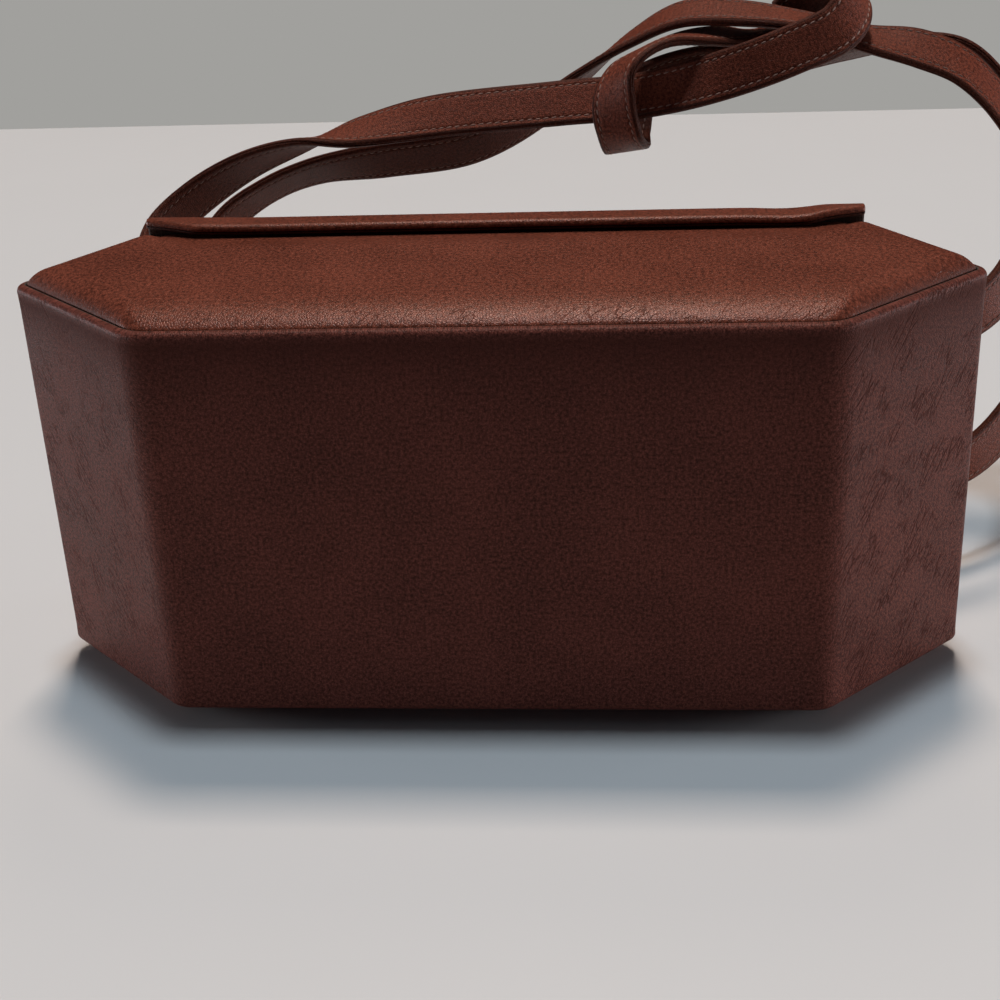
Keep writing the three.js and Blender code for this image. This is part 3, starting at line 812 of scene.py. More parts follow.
def hinge_mesh(materials):
    """The leather hinge strip under the back edge of the opening, thin enough to bend."""
    low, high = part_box("lid_hinge")
    low = np.array(low) / MM
    high = np.array(high) / MM
    thick = (high[2] - low[2]) / 2
    section = []
    for angle in np.linspace(-math.pi / 2, math.pi / 2, HINGE_ROUND_STEPS + 1):
        section.append((high[1] - thick + thick * math.cos(angle), low[2] + thick + thick * math.sin(angle)))
    for y in np.linspace(high[1] - thick, low[1] + thick, HINGE_FACE_STEPS + 1)[1:-1]:
        section.append((y, high[2]))
    for angle in np.linspace(math.pi / 2, 3 * math.pi / 2, HINGE_ROUND_STEPS + 1):
        section.append((low[1] + thick + thick * math.cos(angle), low[2] + thick + thick * math.sin(angle)))
    for y in np.linspace(low[1] + thick, high[1] - thick, HINGE_FACE_STEPS + 1)[1:-1]:
        section.append((y, low[2]))
    section = np.array(section)
    rings = []
    for x in np.linspace(low[0], high[0], HINGE_PLACES):
        rings.append(np.column_stack([np.full(len(section), x), section]))
    grid = np.stack(rings)
    rows, count = grid.shape[:2]
    faces = sheet_faces(rows, count, True)
    faces.append(tuple(range(count)))
    faces.append(tuple(range((rows - 1) * count, rows * count)))
    points = grid.reshape(-1, 3)
    return finished_mesh("lid_hinge_leather", points, faces, points[:, :2], materials)


def strap_rows(left_z, free, right_z):
    """All rows of a strap from one sewn end to the other."""
    run_x = (RIM_WIDTH - CASE_WIDTH) / 2
    facet = math.hypot(run_x, RIM_Y)
    along_x = run_x / facet
    along_y = RIM_Y / facet
    seat = STRAP_SEAT_GAP + STRAP_THICKNESS / 2

    def sewn(side, z):
        rows = []
        for along, lift in SEWN_END:
            off = seat + lift
            x = side * (CASE_WIDTH / 2 + along_x * along + along_y * off)
            rows.append((x, along_y * along - along_x * off, z, side * along_y, -along_x, 0))
        rows.append((side * PAST_RIM[0], PAST_RIM[1], z, side, 0, 0))
        return rows

    return np.array(sewn(-1, left_z) + free + sewn(1, right_z)[::-1], float)


def spline(rows, share, power):
    """Point of a Catmull-Rom curve through the rows; power 0.5 is the centripetal kind, 0 the even kind."""
    count = len(rows) - 1
    place = min(max(share, 0), 1) * count
    i = min(int(place), count - 1)
    w = place - i
    p1, p2 = rows[i], rows[i + 1]
    p0 = rows[i - 1] if i > 0 else 2 * rows[0] - rows[1]
    p3 = rows[i + 2] if i + 2 <= count else 2 * rows[count] - rows[count - 1]
    if power:
        pairs = ((p0, p1), (p1, p2), (p2, p3))
        d0, d1, d2 = (max(np.linalg.norm(b - a) ** power, 1e-4) for a, b in pairs)
        m1 = ((p1 - p0) / d0 - (p2 - p0) / (d0 + d1) + (p2 - p1) / d1) * d1
        m2 = ((p2 - p1) / d1 - (p3 - p1) / (d1 + d2) + (p3 - p2) / d2) * d1
    else:
        m1, m2 = 0.5 * (p2 - p0), 0.5 * (p3 - p1)
    square = 3 * p2 - 3 * p1 - 2 * m1 - m2
    cube = 2 * p1 - 2 * p2 + m1 + m2
    return p1 + m1 * w + square * w ** 2 + cube * w ** 3


def strap_frames(rows):
    """Evenly spaced middles of a strap with its along, face and side directions, and the length so far."""
    path = rows[:, :3]
    shares = np.linspace(0, 1, (len(rows) - 1) * SAMPLES_PER_ROW + 1)
    dense = np.array([spline(path, share, CENTRIPETAL) for share in shares])
    length = np.concatenate([[0], np.cumsum(np.linalg.norm(np.diff(dense, axis=0), axis=1))])
    places = np.linspace(0, length[-1], round(length[-1] / STRAP_STEP) + 1)
    picked = np.interp(places, length, shares)
    middles = np.array([spline(path, share, CENTRIPETAL) for share in picked])
    ahead = np.array([spline(path, share + SMALL_SHARE, CENTRIPETAL) for share in picked])
    behind = np.array([spline(path, share - SMALL_SHARE, CENTRIPETAL) for share in picked])
    along = unit(ahead - behind)
    face = np.array([spline(rows[:, 3:], share, EVEN) for share in picked])
    face = unit(face - along * np.sum(face * along, axis=1, keepdims=True))
    return middles, along, face, np.cross(face, along), places


def strap_section():
    """Across and through pairs round the strap: stitched faces, and turned edges with a seam between."""
    top = STRAP_THICKNESS / 2
    side = STRAP_WIDTH / 2
    across = [-u for u in FACE_PLACES] + [0.0] + FACE_PLACES[::-1]
    face = []
    for u in across:
        channel = CHANNEL_DEPTH * math.exp(-((abs(u) - STITCH_ACROSS) / CHANNEL_WIDTH) ** 2)
        sink = BORDER_SINK * smooth_step(abs(u), BORDER_FROM, BORDER_TO)
        face.append((u, top - channel - float(sink)))
    edge = [(side - u, top - v) for u, v in TURNED_EDGE]
    edge += [(side - u, v) for u, v in LAYER_SEAM]
    right = edge + [(u, -v) for u, v in reversed(edge[:-1])]
    under = [(u, -v) for u, v in reversed(face)]
    left = [(-u, -v) for u, v in right]
    return face + right + under + left


def strap_mesh(name, rows, materials):
    """A stitched double-layer strap swept along its path, with the ends' corners rounded."""
    middles, along, face, side, places = strap_frames(rows)
    section = np.array(strap_section())
    from_end = np.minimum(places, places[-1] - places)
    into_corner = np.maximum(END_CORNER - from_end, 0)
    lost = END_CORNER - np.sqrt(np.maximum(END_CORNER ** 2 - into_corner ** 2, 0))
    grow = 1 - lost / (STRAP_WIDTH / 2)
    thin = np.where(from_end < AT_THE_END, END_THINNING, 1.0)
    grid = (
        middles[:, None] + side[:, None] * (section[:, 0] * grow[:, None])[:, :, None]
        + face[:, None] * (section[:, 1] * thin[:, None])[:, :, None])
    rows_count, count = grid.shape[:2]
    steps = np.linalg.norm(np.diff(section, axis=0), axis=1)
    around = np.concatenate([[0], np.cumsum(steps)])
    uvs = np.zeros((rows_count, count, 2))
    uvs[:, :, 0] = around
    uvs[:, :, 1] = places[:, None]
    turn = np.linalg.norm(np.gradient(along, axis=0), axis=1) / STRAP_STEP
    average = np.ones(BEND_WINDOW) / BEND_WINDOW
    bend = smooth_step(np.convolve(turn, average, mode="same"), BEND_FROM, BEND_TO)
    faces = sheet_faces(rows_count, count, True)
    outer = (section[:, 1] > 0) & (np.abs(section[:, 0]) < STRAP_WIDTH / 2 - OUTER_FACE_MARGIN)
    slots = [0 if outer[k] and outer[(k + 1) % count] else 1 for k in range(count)] * (rows_count - 1)
    faces.append(tuple(range(count)))
    faces.append(tuple(range((rows_count - 1) * count, rows_count * count)))
    slots += [1, 1]
    return finished_mesh(
        name, grid.reshape(-1, 3), faces, uvs.reshape(-1, 2), materials, slots,
        {BEND_NAME: np.repeat(bend, count)}, STRAP_SHARP_DEG)


def stitch_lines(name, straps):
    """Edge-only mesh along every row of stitches, with the way its thread looks and how pale it is."""
    points, edges, looks, tones = [], [], [], []
    for rows, (outer_tone, inner_tone) in straps:
        middles, _, face, side, places = strap_frames(rows)
        keep = np.flatnonzero((places > STITCH_MARGIN) & (places < places[-1] - STITCH_MARGIN))
        for way, tone in ((1, outer_tone), (-1, inner_tone)):
            rise = way * (STRAP_THICKNESS / 2 - CHANNEL_DEPTH + THREAD_RISE)
            for edge in (-STITCH_ACROSS, STITCH_ACROSS):
                first = len(points)
                line = middles[keep] + side[keep] * edge + face[keep] * rise
                points.extend(line)
                looks.extend(face[keep] * way)
                tones.extend([tone] * len(keep))
                edges.extend((first + k, first + k + 1) for k in range(len(keep) - 1))
    mesh = bpy.data.meshes.new(name)
    mesh.from_pydata((np.array(points) * MM).tolist(), edges, [])
    look = mesh.attributes.new(LOOK_NAME, "FLOAT_VECTOR", "POINT")
    look.data.foreach_set("vector", np.array(looks, np.float32).ravel())
    tone = mesh.attributes.new(TONE_NAME, "FLOAT", "POINT")
    tone.data.foreach_set("value", np.array(tones, np.float32))
    lines = bpy.data.objects.new(name, mesh)
    bpy.context.scene.collection.objects.link(lines)
    return lines


def stitch_tree(material):
    """Geometry nodes that lay one rounded stitch at every step along the lines."""
    tree = bpy.data.node_groups.new("strap stitches", "GeometryNodeTree")
    face = tree.interface
    face.new_socket("Geometry", in_out="INPUT", socket_type="NodeSocketGeometry")
    for label in ("Stitch pitch", "Stitch length", "Thread width"):
        face.new_socket(label, in_out="INPUT", socket_type="NodeSocketFloat")
    face.new_socket("Geometry", in_out="OUTPUT", socket_type="NodeSocketGeometry")
    given = add(tree, "NodeGroupInput")
    curve = add(tree, "GeometryNodeMeshToCurve", {"Mesh": given.outputs["Geometry"]})
    steps = add(
        tree, "GeometryNodeResampleCurve",
        {"Curve": curve.outputs["Curve"], "Length": given.outputs["Stitch pitch"]}, mode="LENGTH")
    thread = add(
        tree, "GeometryNodeMeshUVSphere",
        {"Segments": THREAD_SEGMENTS, "Rings": THREAD_RINGS, "Radius": 0.5})
    size = add(
        tree, "ShaderNodeCombineXYZ",
        {"X": given.outputs["Thread width"], "Y": given.outputs["Thread width"],
         "Z": given.outputs["Stitch length"]})
    stitch = add(
        tree, "GeometryNodeTransform",
        {"Geometry": thread.outputs["Mesh"], "Rotation": (math.radians(STITCH_SLANT), 0, 0),
         "Scale": size.outputs["Vector"]})
    tangent = add(tree, "GeometryNodeInputTangent")
    look = add(tree, "GeometryNodeInputNamedAttribute", {"Name": LOOK_NAME}, data_type="FLOAT_VECTOR")
    turn = add(
        tree, "FunctionNodeAxesToRotation",
        {0: tangent.outputs["Tangent"], 1: look.outputs["Attribute"]}, primary_axis="Z", secondary_axis="X")
    laid = add(
        tree, "GeometryNodeInstanceOnPoints",
        {"Points": steps.outputs["Curve"], "Instance": stitch.outputs["Geometry"],
         "Rotation": turn.outputs["Rotation"]})
    real = add(tree, "GeometryNodeRealizeInstances", {"Geometry": laid.outputs["Instances"]})
    smooth = add(tree, "GeometryNodeSetShadeSmooth", {"Geometry": real.outputs["Geometry"]})
    painted = add(
        tree, "GeometryNodeSetMaterial", {"Geometry": smooth.outputs["Geometry"], "Material": material})
    add(tree, "NodeGroupOutput", {"Geometry": painted.outputs["Geometry"]})
    return tree


def shader(name):
    """A new material with its node tree and its surface shader."""
    material = bpy.data.materials.new(name)
    material.use_nodes = True
    tree = material.node_tree
    return material, tree, tree.nodes["Principled BSDF"]


def crease_lines(tree, where, crease, mask):
    """Thin branching creases where the mask is, and their depth: cell edges of a stretched pattern."""
    size_mm, stretch, turn_deg, width, depth = crease
    turned = add(
        tree, "ShaderNodeMapping",
        {"Vector": where, "Rotation": (0, 0, math.radians(turn_deg)), "Scale": (stretch, 1, 1)},
        vector_type="TEXTURE")
    wander = add(
        tree, "ShaderNodeTexNoise",
        {"Vector": turned.outputs["Vector"], "Scale": per_metre(size_mm * WANDER_WIDTH), "Detail": 2.0},
        noise_dimensions="2D")
    shifted = add(
        tree, "ShaderNodeMix",
        {0: CREASE_WANDER, 4: turned.outputs["Vector"], 5: wander.outputs["Color"]}, data_type="VECTOR")
    cells = add(
        tree, "ShaderNodeTexVoronoi",
        {"Vector": shifted.outputs[1], "Scale": per_metre(size_mm), "Randomness": 1.0},
        voronoi_dimensions="2D", feature="DISTANCE_TO_EDGE")
    line = add(
        tree, "ShaderNodeMapRange",
        {"Value": cells.outputs["Distance"], "From Min": 0.0, "From Max": width, "To Min": 1.0,
         "To Max": 0.0},
        interpolation_type="SMOOTHSTEP")
    patches = add(
        tree, "ShaderNodeTexNoise",
        {"Vector": where, "Scale": per_metre(CREASE_PATCH), "Detail": 3.0}, noise_dimensions="2D")
    some = add(
        tree, "ShaderNodeMapRange",
        {"Value": patches.outputs["Fac"], "From Min": PATCH_FROM, "From Max": PATCH_TO},
        interpolation_type="SMOOTHSTEP")
    shown = add(
        tree, "ShaderNodeMath", {0: line.outputs["Result"], 1: some.outputs["Result"]},
        operation="MULTIPLY").outputs[0]
    return add(tree, "ShaderNodeMath", {0: shown, 1: mask}, operation="MULTIPLY").outputs[0], depth


def toned(colour, factor):
    """The colour made deeper or paler by that factor."""
    return tuple(min(part * factor, 1.0) for part in colour[:3]) + (1.0,)


def hide(name, colour, finish, creases):
    """Grained cowhide, dyed and lacquered; creases gives sockets and depths, each socket painted darker as
    painted shade, and depth 0 only darkens.
    """
    # Pressed grain breaks the light into fine pebbles, and thin lacquer over uneven dye gives a soft,
    # slightly patchy gloss; creases hold less lacquer, so they look duller, and are painted darker as painted
    # shade
    grain_mm, grain_depth_mm, roughness, specular = finish
    material, tree, surface = shader(name)
    where = add(tree, "ShaderNodeUVMap", uv_map=UV_NAME).outputs["UV"]
    warp = add(
        tree, "ShaderNodeTexNoise",
        {"Vector": where, "Scale": per_metre(grain_mm * WARP_WIDTH), "Detail": 2.0}, noise_dimensions="2D")
    bent = add(
        tree, "ShaderNodeMix",
        {0: WARP_REACH * grain_mm * MM, 4: where, 5: warp.outputs["Color"]}, data_type="VECTOR")
    pebbles = add(
        tree, "ShaderNodeTexVoronoi",
        {"Vector": bent.outputs[1], "Scale": per_metre(grain_mm), "Randomness": 1.0},
        voronoi_dimensions="2D", feature="DISTANCE_TO_EDGE")
    dome = add(
        tree, "ShaderNodeMapRange",
        {"Value": pebbles.outputs["Distance"], "From Min": 0.0, "From Max": PEBBLE_ROUND},
        interpolation_type="SMOOTHSTEP").outputs["Result"]
    # Pores of 0.1 mm are too fine to show, so they are drawn a little wider than a pebble
    pores = add(
        tree, "ShaderNodeTexNoise",
        {"Vector": where, "Scale": per_metre(grain_mm * PORE_WIDTH), "Detail": 3.0, "Roughness": 0.8},
        noise_dimensions="2D").outputs["Fac"]
    cloud = add(
        tree, "ShaderNodeTexNoise",
        {"Vector": where, "Scale": per_metre(CLOUD_WIDTH), "Detail": 4.0, "Roughness": 0.6},
        noise_dimensions="2D").outputs["Fac"]
    body = add(tree, "ShaderNodeMath", {0: dome, 1: PEBBLE_HEIGHT}, operation="MULTIPLY").outputs[0]
    height = add(
        tree, "ShaderNodeMath", {0: pores, 1: PORE_HEIGHT, 2: body}, operation="MULTIPLY_ADD").outputs[0]
    dark = None
    for crease, depth in creases(tree, where):
        if depth:
            height = add(
                tree, "ShaderNodeMath", {0: crease, 1: -depth, 2: height},
                operation="MULTIPLY_ADD").outputs[0]
        if dark is None:
            dark = crease
        else:
            dark = add(tree, "ShaderNodeMath", {0: dark, 1: crease}, operation="MAXIMUM").outputs[0]
    drift = add(tree, "ShaderNodeMath", {0: cloud, 1: CLOUD_STIR}, operation="MULTIPLY").outputs[0]
    mottle = add(
        tree, "ShaderNodeMath", {0: pores, 1: PORE_STIR, 2: drift}, operation="MULTIPLY_ADD").outputs[0]
    tint = add(tree, "ShaderNodeValToRGB", {"Fac": mottle})
    deepest, palest = tint.color_ramp.elements
    deepest.position = DEEPEST_AT
    deepest.color = toned(colour, DEEPEST_TONE)
    palest.position = PALEST_AT
    palest.color = toned(colour, PALEST_TONE)
    deep = toned(colour, VALLEY_TONE)
    # Painted shade: the grain's valleys between the pebbles are darkened towards the deep tone
    valley = add(
        tree, "ShaderNodeMapRange",
        {"Value": dome, "From Min": 0.0, "From Max": VALLEY_ROUND, "To Min": VALLEY_SHARE, "To Max": 0.0})
    shade = add(
        tree, "ShaderNodeMix",
        {0: valley.outputs["Result"], 6: tint.outputs["Color"], 7: deep}, data_type="RGBA").outputs[2]
    gloss = add(
        tree, "ShaderNodeMapRange",
        {"Value": cloud, "From Min": GLOSS_FROM, "From Max": GLOSS_TO, "To Min": roughness - GLOSS_LESS,
         "To Max": roughness + GLOSS_MORE}).outputs["Result"]
    # Painted shade in creases and along the shaded edges, which are also made duller
    if dark is not None:
        painted_shade = add(tree, "ShaderNodeMath", {0: dark, 1: CREASE_DARKNESS}, operation="MULTIPLY").outputs[0]
        shade = add(tree, "ShaderNodeMix", {0: painted_shade, 6: shade, 7: deep}, data_type="RGBA").outputs[2]
        gloss = add(
            tree, "ShaderNodeMath", {0: dark, 1: CREASE_DULLNESS, 2: gloss},
            operation="MULTIPLY_ADD").outputs[0]
    relief = add(
        tree, "ShaderNodeBump", {"Height": height, "Strength": 1.0, "Distance": grain_depth_mm * MM})
    tree.links.new(shade, surface.inputs["Base Color"])
    tree.links.new(gloss, surface.inputs["Roughness"])
    tree.links.new(relief.outputs["Normal"], surface.inputs["Normal"])
    surface.inputs["IOR"].default_value = LEATHER_IOR
    surface.inputs["Specular IOR Level"].default_value = specular
    surface.inputs["Specular Tint"].default_value = linear(SHEEN)
    return material


def panel_creases(tree, where):
    """Fine slanting creases where the pad's cover is pulled over its rounded edge, and painted shade next to
    the side seams.
    """
    roll = add(tree, "ShaderNodeAttribute", attribute_name=ROLL_NAME).outputs["Fac"]
    faint = add(
        tree, "ShaderNodeMath", {0: roll, 1: ROLL_CREASES, 2: FLAT_CREASES},
        operation="MULTIPLY_ADD").outputs[0]
    edge = add(tree, "ShaderNodeAttribute", attribute_name=SHADE_NAME).outputs["Fac"]
    return [crease_lines(tree, where, PANEL_CREASE, faint), (edge, 0.0)]


def band_creases(tree, where):
    """Branching creases that lean inwards on the facets, a few long level ones in front, and painted shade
    below the upper edge.
    """
    parts = add(tree, "ShaderNodeSeparateXYZ", {"Vector": where})
    away = add(tree, "ShaderNodeMath", {0: parts.outputs["X"]}, operation="ABSOLUTE").outputs[0]
    left = add(tree, "ShaderNodeMath", {0: parts.outputs["X"], 1: 0.0}, operation="LESS_THAN").outputs[0]
    lower = add(
        tree, "ShaderNodeMath", {0: left, 1: LEFT_SHIFT, 2: parts.outputs["Y"]}, operation="MULTIPLY_ADD")
    mirrored = add(tree, "ShaderNodeCombineXYZ", {"X": away, "Y": lower.outputs[0]}).outputs["Vector"]
    side = add(
        tree, "ShaderNodeMapRange", {"Value": away, "From Min": FACET_FROM, "From Max": FACET_TO},
        interpolation_type="SMOOTHSTEP").outputs["Result"]
    fewer = add(
        tree, "ShaderNodeMath", {0: left, 1: -LEFT_FEWER, 2: 1.0}, operation="MULTIPLY_ADD").outputs[0]
    side = add(tree, "ShaderNodeMath", {0: side, 1: fewer}, operation="MULTIPLY").outputs[0]
    front = add(
        tree, "ShaderNodeMath", {0: side, 1: -FRONT_CREASES, 2: FRONT_CREASES},
        operation="MULTIPLY_ADD").outputs[0]
    edge = add(tree, "ShaderNodeAttribute", attribute_name=SHADE_NAME).outputs["Fac"]
    return [
        crease_lines(tree, mirrored, FACET_CREASE, side),
        crease_lines(tree, mirrored, LONG_FACET_CREASE, side),
        crease_lines(tree, mirrored, FRONT_CREASE, front),
        (edge, 0.0),
    ]


def strap_creases(tree, where):
    """Cross wrinkles where the strap is bent, and fainter ones elsewhere."""
    bend = add(tree, "ShaderNodeAttribute", attribute_name=BEND_NAME).outputs["Fac"]
    faint = add(
        tree, "ShaderNodeMath", {0: bend, 1: BEND_CREASES, 2: STRAIGHT_CREASES},
        operation="MULTIPLY_ADD").outputs[0]
    return [crease_lines(tree, where, STRAP_CREASE, faint)]


def no_creases(tree, where):
    """A piece that is too small to show any."""
    return []


def lining(name, colour):
    """Plain woven cotton lining cloth."""
    # Crossing matt threads scatter the light, so the cloth looks dull and even, with a fine grid close by;
    # threads of 0.25 mm are too fine to show, so they are drawn wider apart
    material, tree, surface = shader(name)
    where = add(tree, "ShaderNodeUVMap", uv_map=UV_NAME).outputs["UV"]
    scale = per_metre(LINING_THREAD) / WAVES_PER_SCALE
    threads = []
    for direction in ("X", "Y"):
        wave = add(
            tree, "ShaderNodeTexWave", {"Vector": where, "Scale": scale, "Distortion": LINING_WAVER},
            bands_direction=direction)
        threads.append(wave.outputs["Fac"])
    cloth = add(
        tree, "ShaderNodeMath", {0: threads[0], 1: threads[1]}, operation="MAXIMUM").outputs[0]
    deep = toned(colour, LINING_DEEP_TONE)
    shade = add(tree, "ShaderNodeMix", {0: cloth, 6: deep, 7: tuple(colour)}, data_type="RGBA").outputs[2]
    relief = add(
        tree, "ShaderNodeBump",
        {"Height": cloth, "Strength": LINING_RELIEF_STRENGTH, "Distance": LINING_RELIEF * MM})
    tree.links.new(shade, surface.inputs["Base Color"])
    tree.links.new(relief.outputs["Normal"], surface.inputs["Normal"])
    surface.inputs["Roughness"].default_value = LINING_ROUGHNESS
    return material


def thread(name, colour):
    """Twisted and waxed polyester sewing thread."""
    # Wax gives each stitch a faint shine, and rubbing leaves some paler than others
    material, tree, surface = shader(name)
    tone = add(tree, "ShaderNodeAttribute", attribute_name=TONE_NAME).outputs["Fac"]
    place = add(tree, "ShaderNodeTexCoord").outputs["Object"]
    fuzz = add(tree, "ShaderNodeTexNoise", {"Vector": place, "Scale": per_metre(THREAD_FUZZ), "Detail": 2.0})
    uneven = add(
        tree, "ShaderNodeMath", {0: fuzz.outputs["Fac"], 1: THREAD_UNEVEN, 2: -THREAD_UNEVEN / 2},
        operation="MULTIPLY_ADD").outputs[0]
    mixed = add(tree, "ShaderNodeMath", {0: tone, 1: uneven}, operation="ADD", use_clamp=True).outputs[0]
    deep = toned(colour, THREAD_DEEP_TONE)
    shade = add(tree, "ShaderNodeMix", {0: mixed, 6: deep, 7: tuple(colour)}, data_type="RGBA").outputs[2]
    tree.links.new(shade, surface.inputs["Base Color"])
    surface.inputs["Roughness"].default_value = THREAD_ROUGHNESS
    return material


def laminate(name, colour):
    """Pale matt laminate of the table top."""
    # Its smooth matt skin gives broad soft reflections, and wear leaves its tone very slightly uneven
    material, tree, surface = shader(name)
    place = add(tree, "ShaderNodeTexCoord").outputs["Object"]
    patch = add(
        tree, "ShaderNodeTexNoise", {"Vector": place, "Scale": per_metre(LAMINATE_CLOUD), "Detail": 3.0})
    deep = toned(colour, 1 - LAMINATE_CONTRAST)
    shade = add(
        tree, "ShaderNodeMix", {0: patch.outputs["Fac"], 6: deep, 7: tuple(colour)},
        data_type="RGBA").outputs[2]
    tree.links.new(shade, surface.inputs["Base Color"])
    surface.inputs["Roughness"].default_value = LAMINATE_ROUGHNESS
    return material


class LeatherSettings(bpy.types.PropertyGroup):
    """Colours of the case's leather, lining and thread."""

    panel_colour: bpy.props.FloatVectorProperty(
        name="Panel leather", description="Colour of the padded panels and the lid", subtype="COLOR", size=4,
        min=0, max=1, default=linear("6b3728"))
    band_colour: bpy.props.FloatVectorProperty(
        name="Band leather", description="Colour of the side band and the hinge strip", subtype="COLOR",
        size=4, min=0, max=1, default=linear("62352c"))
    strap_colour: bpy.props.FloatVectorProperty(
        name="Strap leather", description="Colour of both straps", subtype="COLOR", size=4,
        min=0, max=1, default=linear("6a3526"))
    lining_colour: bpy.props.FloatVectorProperty(
        name="Lining", description="Colour of the cloth inside the case", subtype="COLOR", size=4,
        min=0, max=1, default=linear("4a3a30"))
    thread_colour: bpy.props.FloatVectorProperty(
        name="Thread", description="Colour of the strap stitching", subtype="COLOR", size=4,
        min=0, max=1, default=linear("8e6a5a"))


class DetailSettings(bpy.types.PropertyGroup):
    """Sizes of the case's edges and stitching."""

    edge_radius: bpy.props.FloatProperty(
        name="Edge radius", description="Radius of the turned edge along the band's sides", unit="LENGTH",
        default=0.0017, min=0.0005, max=0.0019)
    lip_lift: bpy.props.FloatProperty(
        name="Lip lift", description="How far the lip's clipped ends stand up", unit="LENGTH",
        default=0.0003, min=0, max=0.0015)
    stitch_pitch: bpy.props.FloatProperty(
        name="Stitch pitch", description="Distance from one stitch to the next", unit="LENGTH",
        default=0.0024, min=0.0015, max=0.006)
    stitch_length: bpy.props.FloatProperty(
        name="Stitch length", description="Length of one stitch", unit="LENGTH",
        default=0.0017, min=0.001, max=0.005)
    thread_width: bpy.props.FloatProperty(
        name="Thread width", description="Thickness of the thread", unit="LENGTH",
        default=0.00045, min=0.0002, max=0.001)


class StageSettings(bpy.types.PropertyGroup):
    """Colours and light of the table and room."""

    table_colour: bpy.props.FloatVectorProperty(
        name="Table", description="Colour of the table top", subtype="COLOR", size=4,
        min=0, max=1, default=linear("d2d2d0"))
    backdrop_colour: bpy.props.FloatVectorProperty(
        name="Backdrop", description="Colour seen behind the table", subtype="COLOR", size=4,
        min=0, max=1, default=linear("a1a09d"))
    warm_lamp: bpy.props.FloatProperty(
        name="Warm lamp", description="Strength of the high warm lamp in watts", default=190.0,
        min=0, max=900)
    cool_lamp: bpy.props.FloatProperty(
        name="Cool lamp", description="Strength of the nearer cool lamp in watts", default=38.0,
        min=0, max=900)
    back_light: bpy.props.FloatProperty(
        name="Back light", description="Strength of the wide light behind the table in watts", default=10.0,
        min=0, max=900)
    left_light: bpy.props.FloatProperty(
        name="Left light", description="Strength of the low left light in watts", default=12.0,
        min=0, max=900)
    right_light: bpy.props.FloatProperty(
        name="Right light", description="Strength of the low right light in watts", default=15.0,
        min=0, max=900)
    front_light: bpy.props.FloatProperty(
        name="Front light", description="Strength of the low front light in watts", default=0.8,
        min=0, max=90)


class VANITY_OT_side_band(bpy.types.Operator):
    """Builds the folded leather band round the case's bottom and sides"""

    bl_idname = "vanity_case.side_band"
    bl_label = "Side band"

    def execute(self, context):
        scene = context.scene
        colour = scene.vanity_leather.band_colour
        leather = hide("band cowhide", colour, BAND_FINISH, band_creases)
        inside = lining("band lining cloth", scene.vanity_leather.lining_colour)
        band = band_mesh([leather, inside], scene.vanity_detail.edge_radius / MM)
        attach(band, "case")
        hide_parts("side_band")
        return {"FINISHED"}


class VANITY_OT_panels(bpy.types.Operator):
    """Builds the padded front and back panels"""

    bl_idname = "vanity_case.panels"
    bl_label = "Padded panels"

    def execute(self, context):
        scene = context.scene
        colour = scene.vanity_leather.panel_colour
        leather = hide("panel cowhide", colour, PANEL_FINISH, panel_creases)
        inside = lining("panel lining cloth", scene.vanity_leather.lining_colour)
        for node, flipped in (("front_panel", False), ("back_panel", True)):
            panel = panel_mesh(node + "_leather", [leather, inside], flipped)
            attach(panel, "case")
            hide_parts(node)
        return {"FINISHED"}


class VANITY_OT_lid(bpy.types.Operator):
    """Builds the lid with its lip"""

    bl_idname = "vanity_case.lid"
    bl_label = "Lid"

    def execute(self, context):
        scene = context.scene
        colour = scene.vanity_leather.panel_colour
        leather = hide("lid cowhide", colour, PANEL_FINISH, panel_creases)
        inside = lining("lid lining cloth", scene.vanity_leather.lining_colour)
        # The lip's front and underside: dark edge paint, together with painted shade
        edge = hide("lip edge cowhide", toned(colour, LIP_EDGE_TONE), LIP_FINISH, panel_creases)
        lid = lid_mesh([leather, inside, edge], scene.vanity_detail.lip_lift / MM)
        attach(lid, "lid")
        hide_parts("lid")
        return {"FINISHED"}


class VANITY_OT_hinge(bpy.types.Operator):
    """Builds the leather hinge strip"""

    bl_idname = "vanity_case.hinge"
    bl_label = "Hinge strip"

    def execute(self, context):
        colour = context.scene.vanity_leather.band_colour
        leather = hide("hinge cowhide", colour, HINGE_FINISH, no_creases)
        strip = hinge_mesh([leather])
        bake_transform(strip)
        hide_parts("lid_hinge")
        return {"FINISHED"}


class VANITY_OT_straps(bpy.types.Operator):
    """Builds both tied straps"""

    bl_idname = "vanity_case.straps"
    bl_label = "Straps"

    def execute(self, context):
        colour = context.scene.vanity_leather.strap_colour
        leather = hide("strap cowhide", colour, STRAP_FINISH, strap_creases)
        # Painted shade: the inner faces, edges and ends get a darker copy of the strap leather
        deep = toned(colour, STRAP_INNER_SHADE)
        under = hide("strap inner painted shade cowhide", deep, STRAP_INNER_FINISH, strap_creases)
        runs = (
            ("strap_one", strap_rows(HIGH_ANCHOR_Z, STRAP_ONE, LOW_ANCHOR_Z)),
            ("strap_two", strap_rows(LOW_ANCHOR_Z, STRAP_TWO, HIGH_ANCHOR_Z)),
        )
        for node, rows in runs:
            strap = strap_mesh(node + "_leather", rows, [leather, under])
            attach(strap, "case")
            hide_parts(node)
        return {"FINISHED"}


